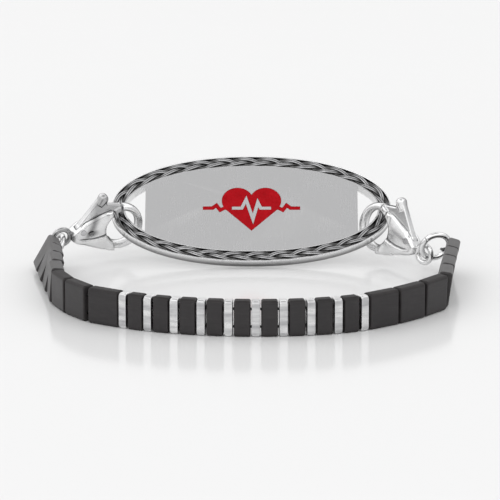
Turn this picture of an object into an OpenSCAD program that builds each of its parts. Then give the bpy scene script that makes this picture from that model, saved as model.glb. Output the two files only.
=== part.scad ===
// Medical alert bracelet: an oval name plate with a braided border, clasped at
// both ends to a string of two-hole tile beads.
// Millimetres, +Z up. The band lies on z = 0 and the view is from -Y.

/* [Bead string] */
// Length of a full tile bead along the string
full_len = 5; // [4.5:0.1:5.2]
// Length of a narrow tile bead
narrow_len = 2.3; // [2:0.1:2.6]
// Length of a metal spacer bead
spacer_len = 1.2; // [1:0.1:1.4]
// Height of every bead
bead_height = 5.1; // [4.6:0.1:5.4]
// Thickness of every bead, through the band
bead_thickness = 1.9; // [1.6:0.1:2.1]
// Corner radius of a bead's broad face
bead_corner = 0.3; // [0.2:0.05:0.6]
// Full beads at each side of the front
side_beads = 7; // [7:1:7]
// Narrow beads, one between each two spacers
narrow_beads = 9; // [9:1:9]
// Bore of the two holes in a bead
bore_d = 0.8; // [0.7:0.05:0.9]
// Distance from a bead's middle to each of its holes
bore_offset = 1.25; // [1.1:0.05:1.35]
// Clear space between two beads on a straight run
bead_gap = 0.08; // [0.06:0.01:0.12]
// Middle bead of the string, left to right
string_x = -1.05; // [-1.5:0.05:-0.5]
// Middle bead of the string, front to back
string_y = -28.61; // [-29:0.01:-28.2]

/* [Thread] */
// Diameter of the thread
thread_d = 0.36; // [0.3:0.02:0.4]
// Space between the thread and the jump ring it holds
thread_slack = 0.13; // [0.1:0.01:0.16]

/* [Name plate] */
// Half the length of the plate
plate_half_len = 20.7; // [20.4:0.1:21]
// Half the height of the plate
plate_half_height = 9.4; // [9.2:0.1:9.6]
// Thickness of the plate
plate_thickness = 1.5; // [1.4:0.05:1.6]
// Fullness of the oval, 2 being a true ellipse
plate_power = 2.1; // [2:0.05:2.2]
// Angle by which the plate leans back from upright
plate_lean = 47.3; // [46:0.1:49]
// Middle of the plate, left to right
plate_x = 0.22; // [0:0.02:0.5]
// How far the plate's middle lies behind the two ends of the string
plate_behind = 10.52; // [10.3:0.02:10.7]
// Width of the rim outside the braid
rim_width = 0.25; // [0.2:0.05:0.3]
// Width of the channel that the braid lies in
channel_width = 1.55; // [1.5:0.05:1.6]
// Depth of the braid's channel
channel_depth = 0.6; // [0.55:0.05:0.65]
// Width of the lip between the channel and an end slot
slot_lip = 0.25; // [0.2:0.05:0.3]
// Distance from the plate's end to the straight edge of an end slot
slot_length = 5.2; // [4.9:0.1:5.5]

/* [Braid] */
// Times that each strand crosses over and back along the border
braid_periods = 9; // [8:1:10]
// Half of the sideways swing of a strand
braid_swing = 0.5; // [0.48:0.01:0.52]
// Half of the up and down swing of a strand
braid_lift = 0.205; // [0.2:0.005:0.21]
// Half the width of a strand
strand_half_width = 0.235; // [0.2:0.005:0.24]
// Half the thickness of a strand
strand_half_height = 0.135; // [0.12:0.005:0.14]
// Sections in one period of a strand
braid_sections = 16; // [12:4:20]

/* [Emblem] */
// Width of the enamel heart
heart_width = 8.8; // [8:0.1:9.2]
// Distance from the heart's middle to each end of the pulse line
pulse_reach = 7.2; // [6.8:0.1:7.4]
// Width of the enamel pulse line outside the heart
pulse_width = 0.62; // [0.5:0.02:0.7]
// Width of the metal pulse line inside the heart
inner_pulse_width = 0.5; // [0.4:0.02:0.56]
// Depth of the enamel
enamel_depth = 0.4; // [0.35:0.05:0.45]
// Space round the enamel
enamel_gap = 0.04; // [0.03:0.01:0.05]

/* [Clasps] */
// Radius of the eye's centre line
eye_radius = 1.28; // [1.24:0.02:1.32]
// Radius of the eye's wire
eye_wire = 0.36; // [0.33:0.01:0.38]
// Thickness of the clasp's body
body_thickness = 2.5; // [2.4:0.05:2.6]
// Thickness of the hook
hook_thickness = 1.7; // [1.6:0.05:1.8]
// Thickness of the lever
lever_thickness = 1; // [0.9:0.05:1.05]
// Space on each side of the lever
lever_clearance = 0.08; // [0.06:0.01:0.12]
// Radius of the lever's hub
hub_radius = 0.9; // [0.85:0.05:0.95]
// Radius of the pivot pin
pin_radius = 0.42; // [0.4:0.01:0.44]
// Space round the pin in the lever's bore
pin_clearance = 0.04; // [0.03:0.01:0.06]
// Space round the pin in the clasp's cheeks
pin_seat_gap = 0.02; // [0.02:0.01:0.04]
// Width of the gate bar
gate_width = 1.05; // [1:0.05:1.15]
// Reach of the gate bar from the pivot
gate_reach = 6.8; // [6.7:0.05:6.9]
// Angle of the closed gate bar in the clasp's own frame
gate_angle = 22.5; // [22:0.5:24]
// Opening at the hook's nose
nose_gap = 0.08; // [0.06:0.01:0.12]
// How far the levers are pressed in, in degrees
lever_press = 0; // [0:1:12]

/* [Jump rings] */
// Radius of a jump ring's centre line
ring_radius = 2.08; // [2.04:0.02:2.12]
// Radius of a jump ring's wire
ring_wire = 0.41; // [0.38:0.01:0.42]

/* [Hidden] */
// Sides of a true circle
round_fn = 48;
// Points of a drawn oval
oval_points = 96;
// Extra length of a cutting tool
over = 1;

// How the string lies. Bead numbers run from the left end to the right end.
// Columns: bead, heading of the string there
lay_heading = [
    [0, -82.1],
    [1, -83.3],
    [3, -83.4],
    [4, -67.9],
    [5, -55.7],
    [6, -33.1],
    [11, -15.4],
    [16, -2.7],
    [20, 7.1],
    [23, 17.7],
    [25, 29.2],
    [28, 52.5],
    [29, 85.5],
    [32, 84.1],
];
// Columns: bead, lean of the bead toward the inside of the loop
lay_lean = [
    [0, 30],
    [1, 23.6],
    [2, 14],
    [3, 5],
    [4, 0],
    [27, 0],
    [28, -2.5],
    [29, -7.5],
    [30, -11.8],
    [32, -15.6],
];

bead_count = 2 * side_beads + 2 * narrow_beads + 1;
last_bead = bead_count - 1;
middle_bead = last_bead / 2;

function unit(angle) = [cos(angle), sin(angle)];

function is_spacer(i) = (i - side_beads) % 2 == 0;

function is_side(i) = i < side_beads || i > last_bead - side_beads;

function bead_len(i) = is_side(i) ? full_len : is_spacer(i) ? spacer_len : narrow_len;

function heading(i) = lookup(i, lay_heading);

function lean(i) = lookup(i, lay_lean);

function bead_reach(i) = bead_thickness / 2 * cos(lean(i)) + bead_height / 2 * sin(abs(lean(i)));

function gap_before(i) =
    bead_gap + (bead_reach(i) + bead_reach(i - 1)) * tan(abs(heading(i) - heading(i - 1)) / 2);

function half_step(i, gap) = unit(heading(i)) * (bead_len(i) + gap) / 2;

string_steps = [for (i = [1 : last_bead]) half_step(i - 1, gap_before(i)) + half_step(i, gap_before(i))];

string_run = [
    for (i = 0, p = [0, 0]; i < bead_count; p = i < last_bead ? p + string_steps[i] : p, i = i + 1) p
];

function bead_xy(i) = string_run[i] - string_run[middle_bead] + [string_x, string_y];

// The plate lies behind the ends of the string, which come first
ends_y = (bead_xy(0)[1] + bead_xy(last_bead)[1]) / 2;
plate_y = ends_y + plate_behind;
plate_left = plate_x - plate_half_len;
plate_right = plate_x + plate_half_len;
slot_from = plate_half_len - slot_length;

// How each clasp lies. Columns: x, y, z of its eye, then turn, rise and roll
CLASP_X = 0;
CLASP_Y = 1;
CLASP_Z = 2;
CLASP_TURN = 3;
CLASP_RISE = 4;
CLASP_ROLL = 5;
clasp_left_lay = [plate_left - 7.14, plate_y - 4.71, 4.22, 21.7, 5.4, 107.9];
clasp_right_lay = [plate_right + 4.5, plate_y - 8.11, 2.56, 137, 15.3, 94];

// How each jump ring lies. Columns: x, y, z of its middle, then turn and tilt,
// and the angle round the ring at which the thread holds it
RING_TURN = 3;
RING_TILT = 4;
RING_HOLD = 5;
ring_left_lay = [plate_left - 8.3, plate_y - 4.6, 2.64, -67, 53.9, -95];
ring_right_lay = [plate_right + 6.1, plate_y - 8.28, 3.74, -163.3, 65.5, -138];

function bead_z(i) = bead_height / 2 * cos(lean(i)) + bead_thickness / 2 * sin(abs(lean(i)));

function bead_middle(i) = [each bead_xy(i), bead_z(i)];

function bead_along(i) = [each unit(heading(i)), 0];

function bead_inward(i) = [-sin(heading(i)), cos(heading(i)), 0];

function bead_up(i) = cos(lean(i)) * [0, 0, 1] + sin(lean(i)) * bead_inward(i);

function bead_name(i) =
    i < side_beads ? str("tile_left_", i + 1)
    : i > last_bead - side_beads ? str("tile_right_", i - last_bead + side_beads)
    : is_spacer(i) ? str("spacer_", (i - side_beads) / 2 + 1)
    : str("narrow_", (i - side_beads + 1) / 2);

BEAD_NODES = [for (i = [0 : last_bead]) bead_name(i)];

STRANDS = 3;

// How far a bead reaches from its middle along a direction
function bead_extent(i, dir) =
    let (
        corner = min(bead_corner, bead_len(i) / 4),
        a = bead_along(i) * dir,
        u = bead_up(i) * dir,
        t = (cos(lean(i)) * bead_inward(i) - sin(lean(i)) * [0, 0, 1]) * dir
    )
    (bead_len(i) / 2 - corner) * abs(a) + (bead_height / 2 - corner) * abs(u)
    + corner * norm([a, u]) + bead_thickness / 2 * abs(t);

x_axis = [1, 0, 0];
y_axis = [0, 1, 0];
beads_left = min([for (i = [0 : last_bead]) bead_middle(i)[0] - bead_extent(i, x_axis)]);
beads_right = max([for (i = [0 : last_bead]) bead_middle(i)[0] + bead_extent(i, x_axis)]);
beads_front = min([for (i = [0 : last_bead]) bead_middle(i)[1] - bead_extent(i, y_axis)]);
plate_back = plate_y + plate_half_height * sin(plate_lean) + plate_thickness * cos(plate_lean);

// Moves the whole object so that the middle of its outer box is over the origin
object_shift = [-(beads_left + beads_right) / 2, -(beads_front + plate_back) / 2, 0];

ceramic = [0.26, 0.25, 0.26];
satin_steel = [0.72, 0.72, 0.73];
bright_steel = [0.82, 0.82, 0.83];
dark_steel = [0.5, 0.5, 0.51];
red_enamel = [0.75, 0.08, 0.16];
thread_grey = [0.3, 0.3, 0.31];

// Points of a rectangle with rounded corners, four to a corner
function rounded_rectangle(w, h, r) = [
    for (corner = [0 : 3], step = [0 : 3])
    let (a = corner * 90 + step * 30, sx = corner == 0 || corner == 3 ? 1 : -1, sy = corner < 2 ? 1 : -1)
    [sx * (w / 2 - r), sy * (h / 2 - r)] + r * unit(a)
];

// One two-hole tile bead of the string
module bead(i) {
    corner = min(bead_corner, bead_len(i) / 4);
    color(is_side(i) || !is_spacer(i) ? ceramic : satin_steel)
    translate(bead_middle(i))
    rotate([-lean(i), 0, heading(i)])
    difference() {
        rotate([90, 0, 0])
        linear_extrude(height = bead_thickness, center = true)
        polygon(rounded_rectangle(bead_len(i), bead_height, corner));
        for (side = [-1, 1])
            translate([0, 0, side * bore_offset])
            rotate([0, 90, 0])
            cylinder(d = bore_d, h = bead_len(i) + 2 * over, center = true, $fn = round_fn);
    }
}

// A tube through a closed run of points, each with its own two section axes
module closed_tube(points, across, along_up, half_w, half_h, sides) {
    n = len(points);
    verts = [
        for (i = [0 : n - 1], k = [0 : sides - 1])
        let (a = 360 * k / sides)
        points[i] + across[i] * half_w * cos(a) + along_up[i] * half_h * sin(a)
    ];
    faces = [
        for (i = [0 : n - 1], k = [0 : sides - 1])
        let (j = (i + 1) % n, m = (k + 1) % sides)
        each [
            [i * sides + k, i * sides + m, j * sides + k],
            [i * sides + m, j * sides + m, j * sides + k],
        ]
    ];
    polyhedron(points = verts, faces = faces, convexity = 8);
}

// Where the thread leaves a bead: end is -1 or 1, level is -1 or 1
function bore_mouth(i, end, level) =
    bead_middle(i) + bead_along(i) * end * bead_len(i) / 2 + bead_up(i) * level * bore_offset;

// The two axes of a jump ring's plane
function ring_u(lay) = [cos(lay[RING_TURN]), sin(lay[RING_TURN]), 0];

function ring_v(lay) =
    [-sin(lay[RING_TURN]) * cos(lay[RING_TILT]), cos(lay[RING_TURN]) * cos(lay[RING_TILT]), sin(lay[RING_TILT])];

function ring_middle(lay) = [lay[CLASP_X], lay[CLASP_Y], lay[CLASP_Z]];

// The turn of the thread round a jump ring's wire, from one bore to the other
TURN_STEPS = 8;
turn_radius = ring_wire + thread_slack + thread_d / 2;
turn_lift = 0.1;

function thread_turn(from, to, lay) =
    let (
        h = lay[RING_HOLD],
        hold = ring_middle(lay) + ring_radius * (cos(h) * ring_u(lay) + sin(h) * ring_v(lay)),
        wire = cos(h) * ring_v(lay) - sin(h) * ring_u(lay),
        away = hold - (from + to) / 2,
        square_away = away - (away * wire) * wire,
        out = square_away / norm(square_away),
        across = cross(wire, out),
        side = across * sign(across * (from - to)),
        lift = wire * ((from - to) * wire) / 2 * turn_lift
    )
    [
        for (k = [0 : TURN_STEPS])
        let (a = 180 * k / TURN_STEPS) hold + turn_radius * (out * sin(a) + side * cos(a)) + lift * cos(a)
    ];

thread_path = concat(
    [for (i = [0 : last_bead], end = [-1, 1]) bore_mouth(i, end, 1)],
    thread_turn(bore_mouth(last_bead, 1, 1), bore_mouth(last_bead, 1, -1), ring_right_lay),
    [for (i = [last_bead : -1 : 0], end = [1, -1]) bore_mouth(i, end, -1)],
    thread_turn(bore_mouth(0, -1, -1), bore_mouth(0, -1, 1), ring_left_lay)
);

WIRE_SIDES = 6;

// The direction of a closed run of points at one of them
function run_direction(points, i) =
    let (n = len(points), d = points[(i + 1) % n] - points[(i + n - 1) % n]) d / norm(d);

// One thread through both rows of bores and round both jump rings
module string_thread() {
    n = len(thread_path);
    directions = [for (i = [0 : n - 1]) run_direction(thread_path, i)];
    acrosses = [for (d = directions) let (v = cross(d, [0, 0, 1])) v / norm(v)];
    ups = [for (i = [0 : n - 1]) cross(acrosses[i], directions[i])];
    color(thread_grey)
    closed_tube(thread_path, acrosses, ups, thread_d / 2, thread_d / 2, WIRE_SIDES);
}

// A point of the plate's outline, and that point moved in by a distance
function oval_point(t) = [
    plate_half_len * sign(cos(t)) * pow(abs(cos(t)), 2 / plate_power),
    plate_half_height * sign(sin(t)) * pow(abs(sin(t)), 2 / plate_power),
];

OVAL_STEP = 1;

function oval_inward(t) =
    let (d = oval_point(t + OVAL_STEP) - oval_point(t - OVAL_STEP)) [-d[1], d[0]] / norm(d);

function oval(inset) = [
    for (k = [0 : oval_points - 1])
    let (t = 360 * (k + 0.5) / oval_points) oval_point(t) + inset * oval_inward(t)
];

channel_inner = rim_width + channel_width;

module on_plate() {
    z = plate_half_height * cos(plate_lean) + plate_thickness * sin(plate_lean);
    translate([plate_x, plate_y, z])
    rotate([90 - plate_lean, 0, 0])
    children();
}

// The heart is two round lobes and a point below them, all smaller by an inset
lobe_radius = heart_width * 0.265;
lobe_x = heart_width / 2 - lobe_radius;
lobe_y = 1.3;
heart_point_y = -4;
LOBE_STEPS = 20;

// The slope of the straight side from the heart's point to a lobe
function side_slope(r, point_y) =
    let (to_lobe = [lobe_x, lobe_y - point_y])
    atan2(to_lobe[1], to_lobe[0]) - asin(r / norm(to_lobe));

function heart_points(inset) =
    let (
        r = lobe_radius - inset,
        point_y = heart_point_y + inset / cos(side_slope(lobe_radius, heart_point_y)),
        from = side_slope(r, point_y) - 90,
        to = 180 - acos(lobe_x / r),
        lobe = [
            for (k = [0 : LOBE_STEPS])
            [lobe_x, lobe_y] + r * unit(from + (to - from) * k / LOBE_STEPS)
        ]
    )
    concat([[0, point_y]], lobe, [for (k = [LOBE_STEPS - 1 : -1 : 0]) [-lobe[k][0], lobe[k][1]]]);

// Corners of the pulse line. Columns: share of the reach, height
outer_pulse = [
    [1, 0],
    [0.8, 0],
    [0.72, 0.5],
    [0.64, -0.35],
    [0.56, 0],
    [0.4, 0],
];
inner_pulse = [
    [-0.4, 0],
    [-0.2, 0],
    [-0.11, 1.5],
    [0.03, -1.9],
    [0.13, 1],
    [0.19, 0],
    [0.4, 0],
];

function pulse_line(rows, sx) = [for (row = rows) [sx * row[0] * pulse_reach, row[1]]];

// A stroke of one width along a run of points, with mitred corners
function stroke_side(p, i, half) =
    let (
        n = len(p),
        a = p[max(i - 1, 0)],
        b = p[min(i + 1, n - 1)],
        d1 = i == 0 ? b - p[i] : p[i] - a,
        d2 = i == n - 1 ? p[i] - a : b - p[i],
        n1 = [-d1[1], d1[0]] / norm(d1),
        n2 = [-d2[1], d2[0]] / norm(d2),
        m = (n1 + n2) / norm(n1 + n2)
    )
    p[i] + m * half / (m * n1);

// The same run of points, longer at both ends
function longer_run(p, extra) =
    let (n = len(p), first = p[0] - p[1], last = p[n - 1] - p[n - 2])
    [
        for (i = [0 : n - 1])
        i == 0 ? p[0] + first / norm(first) * extra
        : i == n - 1 ? p[n - 1] + last / norm(last) * extra
        : p[i]
    ];

module stroke(points, width, extra) {
    run = longer_run(points, extra);
    n = len(run);
    polygon(concat(
        [for (i = [0 : n - 1]) stroke_side(run, i, width / 2)],
        [for (i = [n - 1 : -1 : 0]) stroke_side(run, i, -width / 2)]
    ));
}

// The enamel's outline, smaller than its pocket by a gap on every side
module emblem_outline(gap) {
    difference() {
        union() {
            polygon(heart_points(gap));
            for (sx = [-1, 1])
                stroke(pulse_line(outer_pulse, sx), pulse_width - 2 * gap, -gap);
        }
        stroke(pulse_line(inner_pulse, 1), inner_pulse_width + 2 * gap, gap);
    }
}

module name_plate() {
    color(satin_steel)
    on_plate()
    difference() {
        translate([0, 0, -plate_thickness])
        linear_extrude(height = plate_thickness)
        polygon(oval(0));
        translate([0, 0, -channel_depth])
        linear_extrude(height = channel_depth + over)
        difference() {
            polygon(oval(rim_width));
            polygon(oval(channel_inner));
        }
        for (side = [-1, 1])
            translate([0, 0, -plate_thickness - over])
            linear_extrude(height = plate_thickness + 2 * over)
            intersection() {
                polygon(oval(channel_inner + slot_lip));
                translate([side * (slot_from + plate_half_len / 2), 0])
                square([plate_half_len, 2 * plate_half_height], center = true);
            }
        translate([0, 0, -enamel_depth])
        linear_extrude(height = enamel_depth + over)
        emblem_outline(0);
    }
}

module emblem_inlay() {
    color(red_enamel)
    on_plate()
    translate([0, 0, enamel_gap - enamel_depth])
    linear_extrude(height = enamel_depth - enamel_gap)
    emblem_outline(enamel_gap);
}

// The braid's path, with the length run at each of its sections
braid_stations = braid_periods * braid_sections;
braid_inset = rim_width + channel_width / 2;

braid_fine = 720;
braid_fine_path = [
    for (k = [0 : braid_fine])
    let (t = 360 * k / braid_fine) oval_point(t) + braid_inset * oval_inward(t)
];
braid_fine_run = [
    for (
        k = 0, s = 0;
        k <= braid_fine;
        s = k < braid_fine ? s + norm(braid_fine_path[k + 1] - braid_fine_path[k]) : s, k = k + 1
    )
    [s, k]
];
braid_length = braid_fine_run[braid_fine][0];

// The angle on the oval that lies at a share of the braid's length
function braid_angle(share) = 360 * lookup(share * braid_length, braid_fine_run) / braid_fine;

// One flat wire of the three-strand braid
module braid_strand(k) {
    floor_gap = 0.03;
    middle_z = -channel_depth + floor_gap + braid_lift + strand_half_height;
    stations = [for (i = [0 : braid_stations - 1]) i / braid_stations];
    angles = [for (s = stations) braid_angle(s)];
    inwards = [for (t = angles) oval_inward(t)];
    phases = [for (s = stations) 360 * braid_periods * s + 360 * k / STRANDS];
    points = [
        for (i = [0 : braid_stations - 1])
        let (xy = oval_point(angles[i]) + inwards[i] * (braid_inset + braid_swing * sin(phases[i])))
        [xy[0], xy[1], middle_z + braid_lift * sin(2 * phases[i])]
    ];
    across = [for (v = inwards) [v[0], v[1], 0]];
    ups = [for (v = inwards) [0, 0, 1]];
    color(bright_steel)
    on_plate()
    closed_tube(points, ups, across, strand_half_height, strand_half_width, WIRE_SIDES);
}

// The clasp's own frame: the eye at the origin, the hook along +X, the gate at +Y
pivot = [3, 0.8];
opening_middle = [9.1, 0.15];
opening_radii = [2.4, 2.65];
hook_middle = [9.1, 0.2];
hook_radii = [3.5, 3.7];

// The body's underside. Columns: distance from the eye, height
body_underside = [
    [1.3, -0.45],
    [2, -1.05],
    [2.6, -1.35],
    [3.4, -1.7],
    [4, -2],
    [5, -2.5],
    [6, -2.95],
    [6.9, -3.2],
    [8, -3.45],
];
// The cheeks' top, up to the horn beside the gate. Columns: distance from the eye, height
cheek_top = [
    [1.3, 0.45],
    [2, 1.1],
    [2.6, 1.58],
    [3, 1.72],
    [3.5, 2.12],
    [4.2, 2.4],
    [5, 2.68],
    [5.8, 2.98],
    [6.6, 3.22],
    [7.3, 3.38],
    [7.65, 3.4],
    [7.9, 2.75],
    [8, -2.2],
];

function ellipse_points(middle, radii) = [
    for (k = [0 : round_fn - 1])
    let (t = 360 * k / round_fn) middle + [radii[0] * cos(t), radii[1] * sin(t)]
];

module on_clasp(lay) {
    translate([lay[CLASP_X], lay[CLASP_Y], lay[CLASP_Z]])
    rotate([lay[CLASP_ROLL], -lay[CLASP_RISE], lay[CLASP_TURN]])
    children();
}

// The room that the lever swings in
slot_floor_angle = -3;
SLOT_REACH = 9;

module lever_room() {
    translate(pivot)
    circle(r = hub_radius + lever_clearance, $fn = round_fn);
    translate(pivot)
    rotate(slot_floor_angle)
    translate([0, -gate_width / 2 - lever_clearance])
    square([SLOT_REACH, SLOT_REACH]);
    translate(pivot)
    rotate(90)
    translate([0, -SLOT_REACH])
    square([SLOT_REACH, SLOT_REACH]);
}

module clasp_body(lay) {
    side = concat(body_underside, [for (k = [len(cheek_top) - 1 : -1 : 0]) cheek_top[k]]);
    color(bright_steel)
    on_clasp(lay)
    union() {
        rotate_extrude($fn = round_fn)
        translate([eye_radius, 0])
        circle(r = eye_wire, $fn = round_fn);
        difference() {
            union() {
                linear_extrude(height = body_thickness, center = true)
                polygon(side);
                linear_extrude(height = hook_thickness, center = true)
                difference() {
                    polygon(ellipse_points(hook_middle, hook_radii));
                    intersection() {
                        translate(pivot)
                        circle(r = gate_reach + nose_gap, $fn = round_fn);
                        translate([0, opening_middle[1]])
                        square(2 * gate_reach);
                    }
                }
            }
            linear_extrude(height = body_thickness + over, center = true)
            polygon(ellipse_points(opening_middle, opening_radii));
            linear_extrude(height = lever_thickness + 2 * lever_clearance, center = true)
            lever_room();
            translate([pivot[0], pivot[1], 0])
            cylinder(r = pin_radius + pin_seat_gap, h = body_thickness + over, center = true, $fn = round_fn);
        }
    }
}

module clasp_pin(lay) {
    color(dark_steel)
    on_clasp(lay)
    translate([pivot[0], pivot[1], 0])
    cylinder(r = pin_radius, h = body_thickness - 0.06, center = true, $fn = round_fn);
}

// The thumb tab of the lever, measured from the pivot
tab_reach = gate_reach - 1.1;
tab_angle = gate_angle + 30.5;
tab_radius = 0.72;
tab_thickness = 1.64;

// Distance from the pivot at which the gate bar thickens to meet the hook's nose
nose_from = 5.5;

// The web between gate bar and tab. Columns: share of the gate's reach, angle above the gate bar
lever_web = [
    [0, 0],
    [0.735, 0],
    [1.035, 5],
    [0.785, 20.6],
    [0.904, 25.9],
    [0.897, 36],
    [0.125, 112.5],
];

module clasp_lever(lay) {
    color(bright_steel)
    on_clasp(lay)
    translate([pivot[0], pivot[1], 0])
    rotate(-lever_press)
    difference() {
        union() {
            linear_extrude(height = lever_thickness, center = true) {
                circle(r = hub_radius, $fn = round_fn);
                intersection() {
                    circle(r = gate_reach, $fn = 2 * round_fn);
                    rotate(gate_angle)
                    union() {
                        translate([0, -gate_width / 2])
                        square([gate_reach + over, gate_width]);
                        polygon([for (row = lever_web) row[0] * gate_reach * unit(row[1])]);
                    }
                }
            }
            linear_extrude(height = hook_thickness, center = true)
            intersection() {
                difference() {
                    circle(r = gate_reach, $fn = 2 * round_fn);
                    circle(r = nose_from, $fn = 2 * round_fn);
                }
                rotate(gate_angle)
                translate([0, -gate_width / 2])
                square([gate_reach + over, gate_width]);
            }
            rotate(tab_angle)
            translate([tab_reach, 0, 0])
            cylinder(r = tab_radius, h = tab_thickness, center = true, $fn = round_fn);
        }
        cylinder(r = pin_radius + pin_clearance, h = body_thickness + over, center = true, $fn = round_fn);
    }
}

module jump_ring(lay) {
    color(bright_steel)
    translate([lay[CLASP_X], lay[CLASP_Y], lay[CLASP_Z]])
    rotate([lay[RING_TILT], 0, lay[RING_TURN]])
    rotate_extrude($fn = round_fn)
    translate([ring_radius, 0])
    circle(r = ring_wire, $fn = round_fn);
}

translate(object_shift) {
    name_plate();
    emblem_inlay();
    for (k = [1 : STRANDS])
        braid_strand(k);
    clasp_body(clasp_left_lay);  // clasp_body_left
    clasp_lever(clasp_left_lay);  // clasp_lever_left
    clasp_pin(clasp_left_lay);  // clasp_pin_left
    clasp_body(clasp_right_lay);  // clasp_body_right
    clasp_lever(clasp_right_lay);  // clasp_lever_right
    clasp_pin(clasp_right_lay);  // clasp_pin_right
    jump_ring(ring_left_lay);  // jump_ring_left
    jump_ring(ring_right_lay);  // jump_ring_right
    string_thread();
    for (i = [0 : last_bead])
        bead(i);
}
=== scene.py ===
"""The looks of a medical alert bracelet.

An oval steel plate with a braided border hangs by two lever clasps on a string of tile beads.
Sizes are in millimetres and angles in degrees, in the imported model's frame. A piece is built in
its own local millimetres, and is scaled to metres when it is set in its place.
"""

import logging
import math
from dataclasses import dataclass, field, replace
from enum import Enum
from typing import Optional, Sequence

import bpy
import numpy as np
from mathutils import Matrix, Vector


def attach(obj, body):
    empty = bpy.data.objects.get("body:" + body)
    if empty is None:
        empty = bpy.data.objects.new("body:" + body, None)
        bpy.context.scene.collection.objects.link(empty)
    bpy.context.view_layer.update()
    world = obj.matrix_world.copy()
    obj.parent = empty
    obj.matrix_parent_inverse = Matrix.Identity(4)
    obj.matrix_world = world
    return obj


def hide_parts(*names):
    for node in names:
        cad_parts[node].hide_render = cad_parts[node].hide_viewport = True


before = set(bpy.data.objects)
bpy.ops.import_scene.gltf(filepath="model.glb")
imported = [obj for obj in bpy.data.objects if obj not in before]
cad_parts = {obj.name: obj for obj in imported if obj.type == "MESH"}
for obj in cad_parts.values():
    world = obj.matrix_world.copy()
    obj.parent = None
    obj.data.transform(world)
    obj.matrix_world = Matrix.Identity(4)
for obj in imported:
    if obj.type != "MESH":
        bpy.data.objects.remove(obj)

log = logging.getLogger("bracelet")

MM = 0.001
OBJECT_SHIFT = (0.541478, 3.0479, 0.0)
BAND_BODY = "bracelet"
OWN_PLACE = "own_place"
Z_AXIS = (0.0, 0.0, 1.0)

Point = Sequence[float]
Rows = Sequence[Sequence[float]]
Array = np.ndarray
Piece = bpy.types.Object
Socket = bpy.types.NodeSocket
Material = bpy.types.Material


class Side(Enum):
    """The two ends of the plate."""

    LEFT = "left"
    RIGHT = "right"


class Slot(Enum):
    """The record's material slots."""

    TILE = "tile_charcoal"
    SPACER = "spacer_satin"
    PLATE = "plate_brushed"
    ENAMEL = "enamel_red"
    BRAID = "braid_steel"
    THREAD = "thread_grey"
    RING = "ring_polished"
    CLASP = "clasp_polished"


# Numbers and outlines


def ramp(values: Array, start: float, width: float) -> Array:
    """Rises from 0 at the start to 1 over a width, or falls to it if the width is negative."""
    return np.clip((values - start) / width, 0, 1)


def bell(values: Array, middle: float, width: float) -> Array:
    """A soft bell, 1 at its middle."""
    return np.exp(-(((values - middle) / width) ** 2))


def read_table(rows: Rows, values: Array) -> Array:
    """Reads the second column of a table at values of its first."""
    return np.interp(values, *np.array(rows, float).T)


def unit_rows(rows: Array) -> Array:
    """Scales each row to length one."""
    return rows / np.linalg.norm(rows, axis=1, keepdims=True)


def axes(angle: float) -> tuple:
    """The direction at an angle, and the one square to it."""
    c, s = math.cos(math.radians(angle)), math.sin(math.radians(angle))
    return np.array([c, s]), np.array([-s, c])


def turn_by(angle: float, axis: str) -> Matrix:
    """A turn about an axis."""
    return Matrix.Rotation(math.radians(angle), 4, axis)


def arc(start: float, end: float, count: int, radii: object = 1.0, middle: Point = (0, 0)) -> Array:
    """Points of an arc, or of an ellipse's if there is one radius for x and one for y."""
    a = np.radians(np.linspace(start, end, count))
    return np.array(middle) + np.column_stack([np.cos(a), np.sin(a)]) * radii


def circle(count: int, radius: float, middle: Point = (0, 0)) -> Array:
    """Points of a full circle."""
    return arc(0, 360, count + 1, radius, middle)[:-1]


def oval_at(angles: Array, wide: float, high: float, power: float) -> Array:
    """Points of an oval.

    Args:
        angles: The points' angles, in radians.
        wide: Half of its width.
        high: Half of its height.
        power: 2 for an ellipse, more for a fuller shape.

    Returns:
        One row of two offsets for each point.
    """
    c, s = np.cos(angles), np.sin(angles)
    x, y = (np.sign(v) * np.abs(v) ** (2 / power) for v in (c, s))
    return np.column_stack([wide * x, high * y])


def ring_section(sides: int, wide: float, high: float, power: float = 2.0) -> Array:
    """An oval section with as many points as it has sides."""
    return oval_at(2 * math.pi * (np.arange(sides) + 0.5) / sides, wide, high, power)


# Meshes


def link(name: str, data: bpy.types.ID) -> Piece:
    """Makes an object and links it to the scene.

    Args:
        name: The object's name.
        data: Its mesh, curve, light or camera.

    Returns:
        The object.
    """
    made = bpy.data.objects.new(name, data)
    bpy.context.scene.collection.objects.link(made)
    return made


def points_of(piece: Piece) -> Array:
    """A mesh's points, one row each."""
    return np.array([v.co for v in piece.data.vertices])


def new_object(name: str, verts: Array, faces: Rows) -> Piece:
    """Makes a mesh object.

    Args:
        name: The object's name.
        verts: One row of x, y, z for each point.
        faces: The point numbers of each face.

    Returns:
        The object, linked to the scene.
    """
    mesh = bpy.data.meshes.new(name)
    mesh.from_pydata([tuple(v) for v in np.asarray(verts, float)], [], [tuple(f) for f in faces])
    mesh.validate()
    return link(name, mesh)


def face_outward(piece: Piece) -> None:
    """Turns a closed mesh's faces outward.

    Args:
        piece: The piece, whose faces all point inward or all outward.
    """
    mesh = piece.data
    mesh.calc_loop_triangles()
    co = points_of(piece)
    tri = np.array([t.vertices for t in mesh.loop_triangles])
    a, b, c = co[tri[:, 0]], co[tri[:, 1]], co[tri[:, 2]]
    if np.einsum("ij,ij->i", a, np.cross(b, c)).sum() < 0:
        mesh.flip_normals()


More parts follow.
